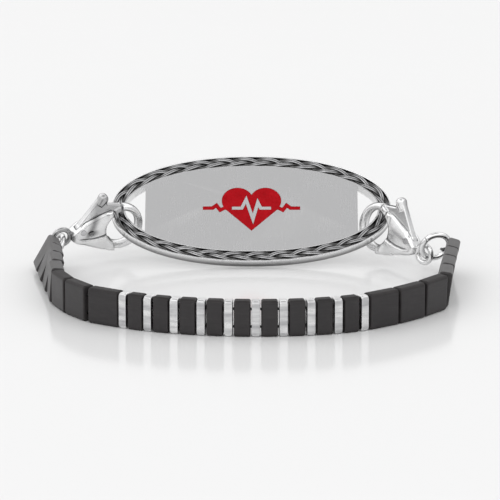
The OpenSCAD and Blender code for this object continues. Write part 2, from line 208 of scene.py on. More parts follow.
def loft(name: str, rings: Array, loop: bool) -> Piece:
    """Joins a run of rings of points into one closed skin.

    Args:
        name: The object's name.
        rings: An array of rings by points by three.
        loop: True if the last ring joins the first, otherwise both ends are closed with a face.

    Returns:
        The object.
    """
    count, sides = rings.shape[:2]
    faces = []
    for i in range(count if loop else count - 1):
        j = (i + 1) % count
        for k in range(sides):
            m = (k + 1) % sides
            faces.append((i * sides + k, i * sides + m, j * sides + m, j * sides + k))
    if not loop:
        faces.append(tuple(reversed(range(sides))))
        faces.append(tuple(range((count - 1) * sides, count * sides)))
    made = new_object(name, rings.reshape(-1, 3), faces)
    face_outward(made)
    return made


def prism(name: str, outline: Array, low: float, high: float) -> Piece:
    """Raises a flat outline along z, from low to high."""
    rings = [np.column_stack([outline, np.full(len(outline), float(z))]) for z in (low, high)]
    return loft(name, np.array(rings), loop=False)


def sweep(name: str, run: Array, across: Array, up: Point, section: Array, loop: bool) -> Piece:
    """Draws a section along a run of points.

    Args:
        name: The object's name.
        run: The points of the run.
        across: The section's first axis at each point.
        up: The section's second axis, the same all along or one for each point.
        section: The section's points, the same all along or one set for each point of the run.
        loop: True if the run is closed.

    Returns:
        The object.
    """
    section = np.broadcast_to(section, (len(run), *section.shape[-2:]))
    up = np.broadcast_to(np.asarray(up), run.shape)
    rings = run[:, None] + section[:, :, :1] * across[:, None] + section[:, :, 1:] * up[:, None]
    return loft(name, rings, loop)


def bent_wire(name: str, radius: float, turns: Array, section: Array, loop: bool) -> Piece:
    """Draws a section round a circle that lies flat, through its turns in radians."""
    out = np.column_stack([np.cos(turns), np.sin(turns), np.zeros(len(turns))])
    return sweep(name, out * radius, out, Z_AXIS, section, loop)


def braced_sweep(name: str, points: Array, section: Array, flat_first: bool) -> Piece:
    """Draws a section along a closed run, and keeps it level.

    Args:
        name: The object's name.
        points: The points of the run.
        section: The section's points.
        flat_first: True if the section's first axis is the level one.

    Returns:
        The object.
    """
    along = unit_rows(np.roll(points, -1, axis=0) - np.roll(points, 1, axis=0))
    across = unit_rows(np.cross(along, Z_AXIS))
    up = np.cross(across, along)
    first, second = (across, up) if flat_first else (up, across)
    return sweep(name, points, first, second, section, loop=True)


def modify(piece: Piece, kind: str, **settings: object) -> None:
    """Adds a modifier with its settings.

    Args:
        piece: The piece.
        kind: The modifier's type.
        settings: The modifier's own settings.
    """
    modifier = piece.modifiers.new(kind.lower(), kind)
    for key, value in settings.items():
        setattr(modifier, key, value)


def final_mesh(piece: Piece) -> bpy.types.Mesh:
    """Works out a piece's final mesh.

    Args:
        piece: The piece, with modifiers or a curve.

    Returns:
        What they make of it.
    """
    bpy.context.view_layer.update()
    graph = bpy.context.evaluated_depsgraph_get()
    return bpy.data.meshes.new_from_object(piece.evaluated_get(graph), depsgraph=graph)


def apply_modifiers(piece: Piece) -> None:
    """Replaces a piece's mesh by what its modifiers make of it.

    Args:
        piece: The piece.
    """
    mesh, old = final_mesh(piece), piece.data
    piece.modifiers.clear()
    piece.data = mesh
    mesh.name = piece.name
    bpy.data.meshes.remove(old)


def combine(piece: Piece, tool: Piece, operation: str = "DIFFERENCE") -> None:
    """Cuts a tool out of a piece, or joins it, and removes the tool.

    Args:
        piece: The piece.
        tool: The tool.
        operation: The kind of boolean.
    """
    modify(piece, "BOOLEAN", operation=operation, solver="EXACT", object=tool)
    apply_modifiers(piece)
    bpy.data.objects.remove(tool)


def merge(pieces: Sequence[Piece], name: str) -> Piece:
    """Puts several meshes into one object, without joining their skins.

    Args:
        pieces: The pieces, which are removed.
        name: The new object's name.

    Returns:
        The object.
    """
    verts, faces = [], []
    for piece in pieces:
        start = len(verts)
        verts.extend(tuple(v.co) for v in piece.data.vertices)
        faces.extend(tuple(start + i for i in p.vertices) for p in piece.data.polygons)
        bpy.data.objects.remove(piece)
    return new_object(name, np.array(verts), faces)


def melt(piece: Piece, voxel: float, rounds: int) -> None:
    """Joins overlapping skins into one and softens its edges.

    Args:
        piece: The piece, in millimetres.
        voxel: The size of the new mesh.
        rounds: How many times the surface is smoothed.
    """
    modify(piece, "REMESH", mode="VOXEL", voxel_size=voxel)
    modify(piece, "SMOOTH", factor=0.6, iterations=rounds)
    apply_modifiers(piece)


def soften_edges(piece: Piece, width: float, segments: int, angle: float) -> None:
    """Rounds a piece's sharp edges.

    Args:
        piece: The piece, in millimetres.
        width: The width of the rounding.
        segments: Its steps.
        angle: The least angle between two faces that counts as an edge.
    """
    settings = {"width": width, "segments": segments, "angle_limit": math.radians(angle)}
    modify(piece, "BEVEL", limit_method="ANGLE", use_clamp_overlap=True, **settings)
    apply_modifiers(piece)


def smooth_faces(piece: Piece, angle: float, weighted: bool = True) -> None:
    """Shades a piece smooth, apart from its sharp edges.

    Args:
        piece: The piece.
        angle: The least angle between two faces that stays sharp.
        weighted: True if broad faces keep their shading flat.
    """
    for polygon in piece.data.polygons:
        polygon.use_smooth = True
    piece.data.set_sharp_from_angle(angle=math.radians(angle))
    if weighted:
        modify(piece, "WEIGHTED_NORMAL", keep_sharp=True, weight=80)
        apply_modifiers(piece)


def soft_slab(name: str, outline: Array, half: float, edge: float) -> Piece:
    """Raises an outline into a slab with rounded edges, centred on z = 0.

    Args:
        name: The object's name.
        outline: The outline's points, anticlockwise.
        half: Half of the slab's thickness.
        edge: The radius of its edges.

    Returns:
        The object.
    """
    curve = bpy.data.curves.new(name, "CURVE")
    curve.dimensions, curve.fill_mode = "2D", "BOTH"
    curve.extrude, curve.bevel_depth, curve.offset = half - edge, edge, -edge
    curve.bevel_resolution = 4
    spline = curve.splines.new("POLY")
    spline.points.add(len(outline) - 1)
    for point, (x, y) in zip(spline.points, outline):
        point.co = (x, y, 0, 1)
    spline.use_cyclic_u = True
    holder = link(name, curve)
    mesh = final_mesh(holder)
    bpy.data.objects.remove(holder)
    made = link(name, mesh)
    modify(made, "WELD", merge_threshold=0.0005)
    apply_modifiers(made)
    face_outward(made)
    return made


def pick_out(piece: Piece, name: str, values: Array) -> None:
    """Stores one number for each point of a mesh, for its material to read."""
    attribute = piece.data.attributes.new(name, "FLOAT", "POINT")
    attribute.data.foreach_set("value", np.asarray(values, np.float32))


def settle(piece: Piece, place: Matrix, patch: float) -> None:
    """Sets a piece in its place, and keeps its own coordinates on its points for its material.

    Args:
        piece: The piece, in its own millimetres.
        place: Its place in the object's frame, with the shift in millimetres.
        patch: A shift in metres that gives it a patch of the pattern of its own.
    """
    own = points_of(piece).astype(np.float32) * MM + patch
    attribute = piece.data.attributes.new(OWN_PLACE, "FLOAT_VECTOR", "POINT")
    attribute.data.foreach_set("vector", own.astype(np.float32).reshape(-1))
    piece.data.transform(Matrix.Scale(MM, 4) @ Matrix.Translation(OBJECT_SHIFT) @ place)


def dress(
    piece: Piece,
    node: str,
    material: Material,
    place: Matrix,
    body: str = BAND_BODY,
    patch: float = 0.0,
) -> None:
    """Sets a piece in its place with its material and body, and lets it stand for a CAD node.

    Args:
        piece: The piece, in its own millimetres.
        node: The CAD node that it stands for.
        material: Its finish.
        place: Its place, as in settle.
        body: The body that it rides on.
        patch: Its shift in the pattern, as in settle.
    """
    settle(piece, place, patch)
    piece.data.materials.clear()
    piece.data.materials.append(material)
    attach(piece, body)
    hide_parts(node)
    log.info("%s: %d points, rides on %s", piece.name, len(piece.data.vertices), body)


# Shader nodes


@dataclass
class Nodes:
    """A shader node tree, with short ways to add to it."""

    tree: bpy.types.NodeTree

    def feed(self, node: bpy.types.Node, inputs: dict) -> None:
        """Gives a node's inputs what they are fed with.

        Args:
            node: The node.
            inputs: Numbers, colours or sockets, by the input's name or number.
        """
        for key, value in inputs.items():
            if isinstance(value, Socket):
                self.tree.links.new(value, node.inputs[key])
            else:
                node.inputs[key].default_value = value

    def add(self, kind: str, inputs: Optional[dict] = None, **settings: object) -> bpy.types.Node:
        """Adds a node.

        Args:
            kind: The node's type.
            inputs: What its inputs are fed with.
            settings: The node's own settings, which come first.

        Returns:
            The node.
        """
        made = self.tree.nodes.new(kind)
        for key, value in settings.items():
            setattr(made, key, value)
        self.feed(made, inputs or {})
        return made

    def calculate(self, operation: str, first: object, second: object) -> Socket:
        """Works out one number from two numbers or sockets."""
        return self.add("ShaderNodeMath", {0: first, 1: second}, operation=operation).outputs[0]

    def noise(self, vector: Socket, **inputs: object) -> Socket:
        """An even noise."""
        named = {key.capitalize(): value for key, value in inputs.items()}
        return self.add("ShaderNodeTexNoise", {"Vector": vector, **named}).outputs["Fac"]

    def window(self, value: Socket, start: object, end: object, **settings: object) -> Socket:
        """Maps a range of values onto 0 to 1."""
        inputs = {"Value": value, "From Min": start, "From Max": end}
        return self.add("ShaderNodeMapRange", inputs, **settings).outputs["Result"]

    def spread(self, mask: Socket, low: float, high: float) -> Socket:
        """Maps a mask from 0 to 1 onto a range of values."""
        inputs = {"Value": mask, "To Min": low, "To Max": high}
        return self.add("ShaderNodeMapRange", inputs).outputs["Result"]

    def blend(self, mask: Socket, low: object, high: object) -> Socket:
        """Mixes two colours.

        Args:
            mask: 0 gives the low colour, 1 the high one.
            low: A colour or a socket.
            high: A colour or a socket.

        Returns:
            The mixed colour.
        """
        colours = {6: low, 7: high}
        inputs = {key: c if isinstance(c, Socket) else (*c, 1.0) for key, c in colours.items()}
        return self.add("ShaderNodeMix", {"Factor": mask, **inputs}, data_type="RGBA").outputs[2]

    def relief(self, height: Socket, strength: float, depth: float) -> Socket:
        """Turns heights into the surface's normal."""
        inputs = {"Height": height, "Strength": strength, "Distance": depth}
        return self.add("ShaderNodeBump", inputs).outputs["Normal"]

    def stored(self, name: str) -> Socket:
        """A number that the mesh's points hold."""
        return self.add("ShaderNodeAttribute", attribute_name=name).outputs["Fac"]

    def own_place(self) -> Socket:
        """A piece's own coordinates in metres."""
        return self.add("ShaderNodeAttribute", attribute_name=OWN_PLACE).outputs["Vector"]

    def object_place(self) -> Socket:
        """The object's coordinates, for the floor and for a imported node."""
        return self.add("ShaderNodeTexCoord").outputs["Object"]


def start_group(name: str, inputs: Sequence[tuple[str, str, object]], output: str) -> tuple:
    """Starts a shader node group.

    Args:
        name: The group's name.
        inputs: Name, socket kind and default of each input.
        output: The name of its one output, a mask.

    Returns:
        The group's nodes, its input node and its output node.
    """
    tree = bpy.data.node_groups.new(name, "ShaderNodeTree")
    for label, kind, default in inputs:
        socket = tree.interface.new_socket(label, in_out="INPUT", socket_type=kind)
        if default is not None:
            socket.default_value = default
    tree.interface.new_socket(output, in_out="OUTPUT", socket_type="NodeSocketFloat")
    nodes = Nodes(tree)
    return nodes, nodes.add("NodeGroupInput"), nodes.add("NodeGroupOutput")


def fine_lines_group() -> bpy.types.NodeTree:
    """Fine parallel lines, as a brush or a polishing wheel leaves them.

    Returns:
        A group with a Lines output from 0 to 1.
    """
    inputs = [("Vector", "NodeSocketVector", None), ("Stretch", "NodeSocketVector", (1, 1, 1))]
    nodes, source, target = start_group("fine_lines", inputs, "Lines")
    stretched = {0: source.outputs["Vector"], 1: source.outputs["Stretch"]}
    placed = nodes.add("ShaderNodeVectorMath", stretched, operation="MULTIPLY").outputs[0]
    noise = nodes.noise(placed, scale=1.0, detail=3.0)
    nodes.feed(target, {"Lines": nodes.window(noise, 0.3, 0.7)})
    return nodes.tree


def cloud_group() -> bpy.types.NodeTree:
    """Soft uneven clouds, such as handling leaves on a surface.

    Returns:
        A group with a Cloud output from 0 to 1.
    """
    inputs = [("Vector", "NodeSocketVector", None), ("Size", "NodeSocketFloat", 1.0)]
    nodes, source, target = start_group("soft_cloud", inputs, "Cloud")
    scale = nodes.calculate("DIVIDE", 1.0, source.outputs["Size"])
    noise = nodes.noise(source.outputs["Vector"], scale=scale, detail=4.0, roughness=0.6)
    nodes.feed(target, {"Cloud": nodes.window(noise, 0.32, 0.68)})
    return nodes.tree


def edge_group() -> bpy.types.NodeTree:
    """Worn outer edges, read from the mesh's own curvature.

    Returns:
        A group with an Edge output from 0 to 1.
    """
    nodes, source, target = start_group("worn_edges", [("Reach", "NodeSocketFloat", 0.1)], "Edge")
    bend = nodes.add("ShaderNodeNewGeometry").outputs["Pointiness"]
    high = nodes.calculate("ADD", 0.5, source.outputs["Reach"])
    nodes.feed(target, {"Edge": nodes.window(bend, 0.505, high)})
    return nodes.tree


@dataclass
class Effects:
    """The node groups that the finishes share, and the ways to place them in a material."""

    lines_tree: bpy.types.NodeTree = field(default_factory=fine_lines_group)
    cloud_tree: bpy.types.NodeTree = field(default_factory=cloud_group)
    edge_tree: bpy.types.NodeTree = field(default_factory=edge_group)

    def lines(self, nodes: Nodes, vector: Socket, stretch: Point) -> Socket:
        """Fine lines with their own stretch along each axis."""
        inputs = {"Vector": vector, "Stretch": stretch}
        return nodes.add("ShaderNodeGroup", inputs, node_tree=self.lines_tree).outputs["Lines"]

    def cloud(self, nodes: Nodes, vector: Socket, size: float) -> Socket:
        """Clouds of a size in metres."""
        inputs = {"Vector": vector, "Size": size}
        return nodes.add("ShaderNodeGroup", inputs, node_tree=self.cloud_tree).outputs["Cloud"]

    def edges(self, nodes: Nodes, reach: float) -> Socket:
        """Worn edges, the sharper ones alone if the reach is long."""
        return nodes.add("ShaderNodeGroup", {"Reach": reach}, node_tree=self.edge_tree).outputs["Edge"]


# Finishes


@dataclass(frozen=True)
class Finish:
    """What all finishes have: a name, and a way to become a node material."""

    name: str

    def material(self, effects: Effects) -> Material:
        """Builds the finish.

        Args:
            effects: The shared node groups.

        Returns:
            The material.
        """
        material = bpy.data.materials.new(self.name)
        material.use_nodes = True
        shader = next(n for n in material.node_tree.nodes if n.type == "BSDF_PRINCIPLED")
        nodes = Nodes(material.node_tree)
        nodes.feed(shader, self.surface(nodes, effects))
        return material

    def surface(self, nodes: Nodes, effects: Effects) -> dict:
        """What the Principled BSDF's inputs are fed with, by name."""
        raise NotImplementedError


@dataclass(frozen=True)
class Steel(Finish):
    """A steel finish, from mirror polish to satin."""

    bright: tuple = (0.93, 0.93, 0.93)
    dull: tuple = (0.82, 0.82, 0.825)
    roughness: tuple = (0.08, 0.16)
    stretch: tuple = (3000.0, 3000.0, 3000.0)
    line_depth: float = 0.0
    line_strength: float = 0.35
    line_tone: float = 0.3
    packed: bool = False
    cloud_size: float = 0.003
    edge_reach: float = 0.12
    # A stored mask and the dark colour that it mixes in: oxide in the plate's channel and the braid's
    # hollows, and painted shade on the plate's edge and the clasps
    oxide_and_painted_shade: Optional[str] = None
    oxide_and_painted_shade_colour: tuple = (0.06, 0.059, 0.059)
    # How much of the light the metal gives back at a glancing angle
    edge_tint: float = 1.0

    def surface(self, nodes: Nodes, effects: Effects) -> dict:
        """Works out the surface.

        Args:
            nodes: The material's nodes.
            effects: The shared node groups.

        Returns:
            What the shader's inputs are fed with.
        """
        vector = nodes.object_place() if self.packed else nodes.own_place()
        lines = effects.lines(nodes, vector, self.stretch)
        cloud = effects.cloud(nodes, vector, self.cloud_size)
        lined = nodes.calculate("MULTIPLY", lines, self.line_tone)
        tone = nodes.calculate("ADD", lined, nodes.calculate("MULTIPLY", cloud, 1 - self.line_tone))
        colour = nodes.blend(tone, self.dull, self.bright)
        colour = nodes.blend(effects.edges(nodes, self.edge_reach), colour, self.bright)
        # Darkens by the stored mask: oxide in hollows, and painted shade on the plate's edge and the clasps
        if self.oxide_and_painted_shade:
            colour = nodes.blend(nodes.stored(self.oxide_and_painted_shade), self.oxide_and_painted_shade_colour, colour)
        surface = {
            "Base Color": colour,
            "Roughness": nodes.spread(tone, self.roughness[1], self.roughness[0]),
            "Metallic": 1.0,
            "Specular Tint": (self.edge_tint, self.edge_tint, self.edge_tint, 1.0),
        }
        if self.line_depth > 0:
            surface["Normal"] = nodes.relief(lines, self.line_strength, self.line_depth)
        return surface


@dataclass(frozen=True)
class PressedGlass(Finish):
    """Opaque matte charcoal glass, with lighter rubbed edges that are also a painted highlight."""

    deep: tuple = (0.0235, 0.0212, 0.0222)
    pale: tuple = (0.036, 0.0325, 0.0335)
    # The colour of the rubbed edges, also a painted highlight along them
    worn_and_highlit: tuple = (0.05, 0.046, 0.045)
    roughness: tuple = (0.36, 0.5)
    gloss: tuple = (0.0, 0.66)
    gloss_roughness: float = 0.43
    base_gloss: float = 0.06
    cloud_size: float = 0.0022
    grain_size: float = 0.00016
    grain_strength: float = 0.25
    grain_depth: float = 0.00003
    streaks: tuple = (500, 2500, 4200)
    edge_reach: float = 0.06

    def surface(self, nodes: Nodes, effects: Effects) -> dict:
        """Works out the surface, whose gloss is on the pressed faces alone.

        Args:
            nodes: The material's nodes.
            effects: The shared node groups.

        Returns:
            What the shader's inputs are fed with.
        """
        vector = nodes.own_place()
        cloud = effects.cloud(nodes, vector, self.cloud_size)
        grain = effects.cloud(nodes, vector, self.grain_size)
        patch = nodes.calculate("MULTIPLY", cloud, effects.lines(nodes, vector, self.streaks))
        # Lighter colour on the rubbed edges, also a painted highlight along the beads' rounded edges
        wear_and_highlight = nodes.calculate("MULTIPLY", effects.edges(nodes, self.edge_reach), cloud)
        return {
            "Base Color": nodes.blend(wear_and_highlight, nodes.blend(patch, self.deep, self.pale), self.worn_and_highlit),
            "Roughness": nodes.spread(cloud, *self.roughness),
            "Normal": nodes.relief(grain, self.grain_strength, self.grain_depth),
            "Coat Weight": nodes.spread(nodes.stored("face_gloss"), *self.gloss),
            "Coat Roughness": self.gloss_roughness,
            "Specular IOR Level": self.base_gloss,
        }


@dataclass(frozen=True)
class Enamel(Finish):
    """Glossy red enamel with a faint unevenness."""

    deep: tuple = (0.36, 0.002, 0.006)
    bright: tuple = (0.46, 0.004, 0.01)
    roughness: tuple = (0.22, 0.34)
    cloud_size: float = 0.0016
    fine_size: float = 0.0004
    wave_strength: float = 0.3
    wave_depth: float = 0.00004
    coat: float = 0.03
    coat_roughness: float = 0.12
    base_gloss: float = 0.1

    def surface(self, nodes: Nodes, effects: Effects) -> dict:
        """Works out the surface.

        Args:
            nodes: The material's nodes.
            effects: The shared node groups.

        Returns:
            What the shader's inputs are fed with.
        """
        vector = nodes.own_place()
        cloud = effects.cloud(nodes, vector, self.cloud_size)
        return {
            "Base Color": nodes.blend(cloud, self.deep, self.bright),
            "Roughness": nodes.spread(effects.cloud(nodes, vector, self.fine_size), *self.roughness),
            "Normal": nodes.relief(cloud, self.wave_strength, self.wave_depth),
            "Coat Weight": self.coat,
            "Coat Roughness": self.coat_roughness,
            "Specular IOR Level": self.base_gloss,
        }


@dataclass(frozen=True)
class Fibre(Finish):
    """A twisted grey thread."""

    dark: tuple = (0.05, 0.05, 0.052)
    light: tuple = (0.17, 0.17, 0.172)
    roughness: tuple = (0.55, 0.8)
    twist_scale: float = 1400.0
    cloud_size: float = 0.0006
    twist_strength: float = 0.5
    twist_depth: float = 0.00005
    sheen: float = 0.2

    def surface(self, nodes: Nodes, effects: Effects) -> dict:
        """Works out the surface.

        Args:
            nodes: The material's nodes.
            effects: The shared node groups.

        Returns:
            What the shader's inputs are fed with.
        """
        vector = nodes.own_place()
        inputs = {"Vector": vector, "Scale": self.twist_scale, "Distortion": 2.5, "Detail": 2.0}
        wave = nodes.add("ShaderNodeTexWave", inputs, bands_direction="DIAGONAL").outputs["Fac"]
        cloud = effects.cloud(nodes, vector, self.cloud_size)
        return {
            "Base Color": nodes.blend(nodes.calculate("MULTIPLY", wave, cloud), self.dark, self.light),
            "Roughness": nodes.spread(cloud, *self.roughness),
            "Normal": nodes.relief(wave, self.twist_strength, self.twist_depth),
            "Sheen Weight": self.sheen,
        }


@dataclass(frozen=True)
class FloorFinish(Finish):
    """The pale glossy floor."""

    colour: tuple = (0.86, 0.86, 0.86)
    roughness: tuple = (0.12, 0.15)
    cloud_size: float = 0.05
    gloss: float = 0.22

    def surface(self, nodes: Nodes, effects: Effects) -> dict:
        """Works out the surface.

        Args:
            nodes: The material's nodes.
            effects: The shared node groups.

        Returns:
            What the shader's inputs are fed with.
        """
        cloud = effects.cloud(nodes, nodes.object_place(), self.cloud_size)
        return {
            "Base Color": (*self.colour, 1.0),
            "Roughness": nodes.spread(cloud, *self.roughness),
            "Specular IOR Level": self.gloss,
        }


# Sub-assemblies


@dataclass
class BeadString:
    """The string of two-hole tile beads and its thread."""

    full_len: float = 5.0
    narrow_len: float = 2.3
    spacer_len: float = 1.2
    height: float = 5.1
    thickness: float = 1.9
    corner: float = 0.3
    least_corner: float = 0.06
    least_half: float = 0.1
    edge_points: int = 7
    # Rounding of a bead's edges: how far across the thickness, along the string and down the height
    edge_depth: float = 0.48
    end_edge: float = 0.17
    top_edge: float = 0.4
    spacer_end_edge: float = 0.06
    # Columns: distance in from the rounding, share of the dome
    dome_rows: Rows = ((0.12, 0.5), (0.3, 1))
    dome: float = 0.02
    # The beads whose ground top and bottom are still matte
    matte_from: int = 4
    matte_to: int = 28
    matte_fade: float = 0.1
    bore: float = 0.8
    bore_offset: float = 1.25
    bore_sides: int = 40
    gap: float = 0.08
    side_beads: int = 7
    narrow_beads: int = 9
    middle: tuple = (-1.05, -28.61)
    patch_step: float = 0.0137
    thread_d: float = 0.36
    thread_slack: float = 0.13
    thread_sides: int = 12
    least_step: float = 1e-6
    turn_lift: float = 0.1
    turn_points: int = 25
    # Columns: bead, heading of the string there
    headings: Rows = (
        (0, -82.1), (1, -83.3), (3, -83.4), (4, -67.9), (5, -55.7), (6, -33.1), (11, -15.4),
        (16, -2.7), (20, 7.1), (23, 17.7), (25, 29.2), (28, 52.5), (29, 85.5), (32, 84.1),
    )
    # Columns: bead, lean toward the inside of the loop
    leans: Rows = (
        (0, 30), (1, 23.6), (2, 14), (3, 5), (4, 0),
        (27, 0), (28, -2.5), (29, -7.5), (30, -11.8), (32, -15.6),
    )

    @property
    def count(self) -> int:
        """How many beads are on the string."""
        return 2 * self.side_beads + 2 * self.narrow_beads + 1

    def is_side(self, i: int) -> bool:
        """True for a full bead."""
        return i < self.side_beads or i >= self.count - self.side_beads

    def is_spacer(self, i: int) -> bool:
        """True for a metal spacer bead."""
        return not self.is_side(i) and (i - self.side_beads) % 2 == 0

    def length(self, i: int) -> float:
        """A bead's length along the string."""
        metal, full = self.is_spacer(i), self.is_side(i)
        return self.spacer_len if metal else self.full_len if full else self.narrow_len

    def node_name(self, i: int) -> str:
        """The CAD node of a bead, counted from the left.

        Args:
            i: The bead.

        Returns:
            The node's name.
        """
        if self.is_spacer(i):
            return f"spacer_{(i - self.side_beads) // 2 + 1}"
        if not self.is_side(i):
            return f"narrow_{(i - self.side_beads + 1) // 2}"
        if i < self.side_beads:
            return f"tile_left_{i + 1}"
        return f"tile_right_{i - self.count + 1 + self.side_beads}"

    def heading(self, i: int) -> float:
        """The string's heading at a bead."""
        return float(read_table(self.headings, i))

    def lean(self, i: int) -> float:
        """A bead's lean toward the inside of the loop."""
        return float(read_table(self.leans, i))

    def reach(self, i: int) -> float:
        """How far a bead reaches to each side of the string."""
        lean = math.radians(self.lean(i))
        return self.thickness / 2 * math.cos(lean) + self.height / 2 * math.sin(abs(lean))

    def middles(self) -> Array:
        """The middle of every bead.

        Returns:
            One row of x, y, z for each bead.
        """
        points = [np.zeros(2)]
        for i in range(1, self.count):
            turn = math.radians(abs(self.heading(i) - self.heading(i - 1)))
            gap = self.gap + (self.reach(i) + self.reach(i - 1)) * math.tan(turn / 2)
            steps = [axes(self.heading(j))[0] * (self.length(j) + gap) / 2 for j in (i - 1, i)]
            points.append(points[-1] + steps[0] + steps[1])
        flat = np.array(points) - points[(self.count - 1) // 2] + np.array(self.middle)
        leans = np.radians([self.lean(i) for i in range(self.count)])
        high = self.height / 2 * np.cos(leans) + self.thickness / 2 * np.sin(np.abs(leans))
        return np.column_stack([flat, high])

    def place(self, i: int, middle: Point) -> Matrix:
        """A bead's place: its length along x, its thickness along y and its height along z."""
        turn = turn_by(self.heading(i), "Z") @ turn_by(-self.lean(i), "X")
        return Matrix.Translation(Vector(middle)) @ turn

    def face_outline(self, length: float, inset: float, drop: float) -> Array:
        """The rounded rectangle of a bead's broad face.

        Args:
            length: The bead's length.
            inset: How much smaller it is at both ends.
            drop: How much smaller it is at its top and bottom.

        Returns:
            One row of two offsets for each point.
        """
        corner = max(min(self.corner, length / 4) - inset, self.least_corner)
        half = np.array([length / 2 - inset - corner, self.height / 2 - drop - corner])
        signs = ((1, 1), (-1, 1), (-1, -1), (1, -1))
        turns = [(90 * i, 90 * i + 90, half * s) for i, s in enumerate(signs)]
        return np.vstack([arc(a, b, self.edge_points, corner, middle) for a, b, middle in turns])

    def bead_mesh(self, name: str, length: float) -> Piece:
        """Builds one bead with rounded edges, a slight dome and two bores.

        Args:
            name: The object's name.
            length: The bead's length along the string.

        Returns:
            The bead, in millimetres, at the origin.
        """
        end_edge = self.end_edge if length > self.spacer_len else self.spacer_end_edge
        half = self.thickness / 2 - self.dome
        rows = []
        for out, up in arc(0, 90, self.edge_points):
            rows.append((end_edge * (1 - out), self.top_edge * (1 - out), half - self.edge_depth * (1 - up)))
        for inward, share in self.dome_rows:
            rows.append((end_edge + inward, self.top_edge + inward, half + self.dome * share))
        rings = []
        for inset, drop, y in [(a, b, -y) for a, b, y in reversed(rows)] + rows:
            flat = self.face_outline(length, min(inset, length / 2 - self.least_half), drop)
            rings.append(np.column_stack([flat[:, 0], np.full(len(flat), y), flat[:, 1]]))
        bead = loft(name, np.array(rings), loop=False)
        for level in (-1, 1):
            hole = circle(self.bore_sides, self.bore / 2, (0, level * self.bore_offset))
            ends = [np.column_stack([np.full(len(hole), x), hole]) for x in (-length, length)]
            combine(bead, loft("bore", np.array(ends), loop=False))
        smooth_faces(bead, angle=30)
        return bead

    def face_gloss(self, bead: Piece, i: int) -> Array:
        """Where a bead is glossy.

        Args:
            bead: The bead, in its own millimetres.
            i: Its number.

        Returns:
            For each point 1 on a face, and 0 on the ground top and bottom where these are still matte.
        """
        high = np.abs(points_of(bead)[:, 2])
        gloss = ramp(high, self.height / 2, -self.top_edge - self.matte_fade)
        return gloss if self.matte_from <= i <= self.matte_to else np.ones(len(high))

    def build(self, tile: Material, spacer: Material) -> None:
        """Builds and dresses every bead.

        Args:
            tile: The finish of the full and narrow beads.
            spacer: The finish of the spacer beads.
        """
        lengths = (self.full_len, self.narrow_len, self.spacer_len)
        forms = {length: self.bead_mesh("bead_form", length) for length in lengths}
        for i, middle in enumerate(self.middles()):
            node = self.node_name(i)
            bead = link(node + "_bead", forms[self.length(i)].data.copy())
            pick_out(bead, "face_gloss", self.face_gloss(bead, i))
            slot, finish = (Slot.SPACER, spacer) if self.is_spacer(i) else (Slot.TILE, tile)
            dress(bead, node, finish, self.place(i, middle), patch=self.patch_step * (i + 1))
        for form in forms.values():
            bpy.data.objects.remove(form)

    def mouth(self, i: int, end: int, level: int, middles: Array) -> Array:
        """Where the thread leaves a bead: the end is -1 on its left, the level -1 for the lower bore."""
        turn = self.place(i, middles[i]).to_3x3()
        return middles[i] + np.array(turn @ Vector((end * self.length(i) / 2, 0, level * self.bore_offset)))

    def build_thread(self, rings: "JumpRings", material: Material) -> None:
        """Builds the thread through both rows of bores and round both jump rings.

        Args:
            rings: The jump rings.
            material: The thread's finish.
        """
        middles = self.middles()
        last = self.count - 1
        run = [self.mouth(i, e, 1, middles) for i in range(self.count) for e in (-1, 1)]
        run += rings.thread_turn(Side.RIGHT, run[-1], self.mouth(last, 1, -1, middles), self)
        run += [self.mouth(i, e, -1, middles) for i in range(last, -1, -1) for e in (1, -1)]
        run += rings.thread_turn(Side.LEFT, run[-1], self.mouth(0, -1, 1, middles), self)
        points = np.array(run)
        points = points[np.linalg.norm(points - np.roll(points, 1, axis=0), axis=1) > self.least_step]
        section = ring_section(self.thread_sides, self.thread_d / 2, self.thread_d / 2)
        thread = braced_sweep("string_thread_fibre", points, section, flat_first=True)
        smooth_faces(thread, angle=60, weighted=False)
        dress(thread, "string_thread", material, Matrix())


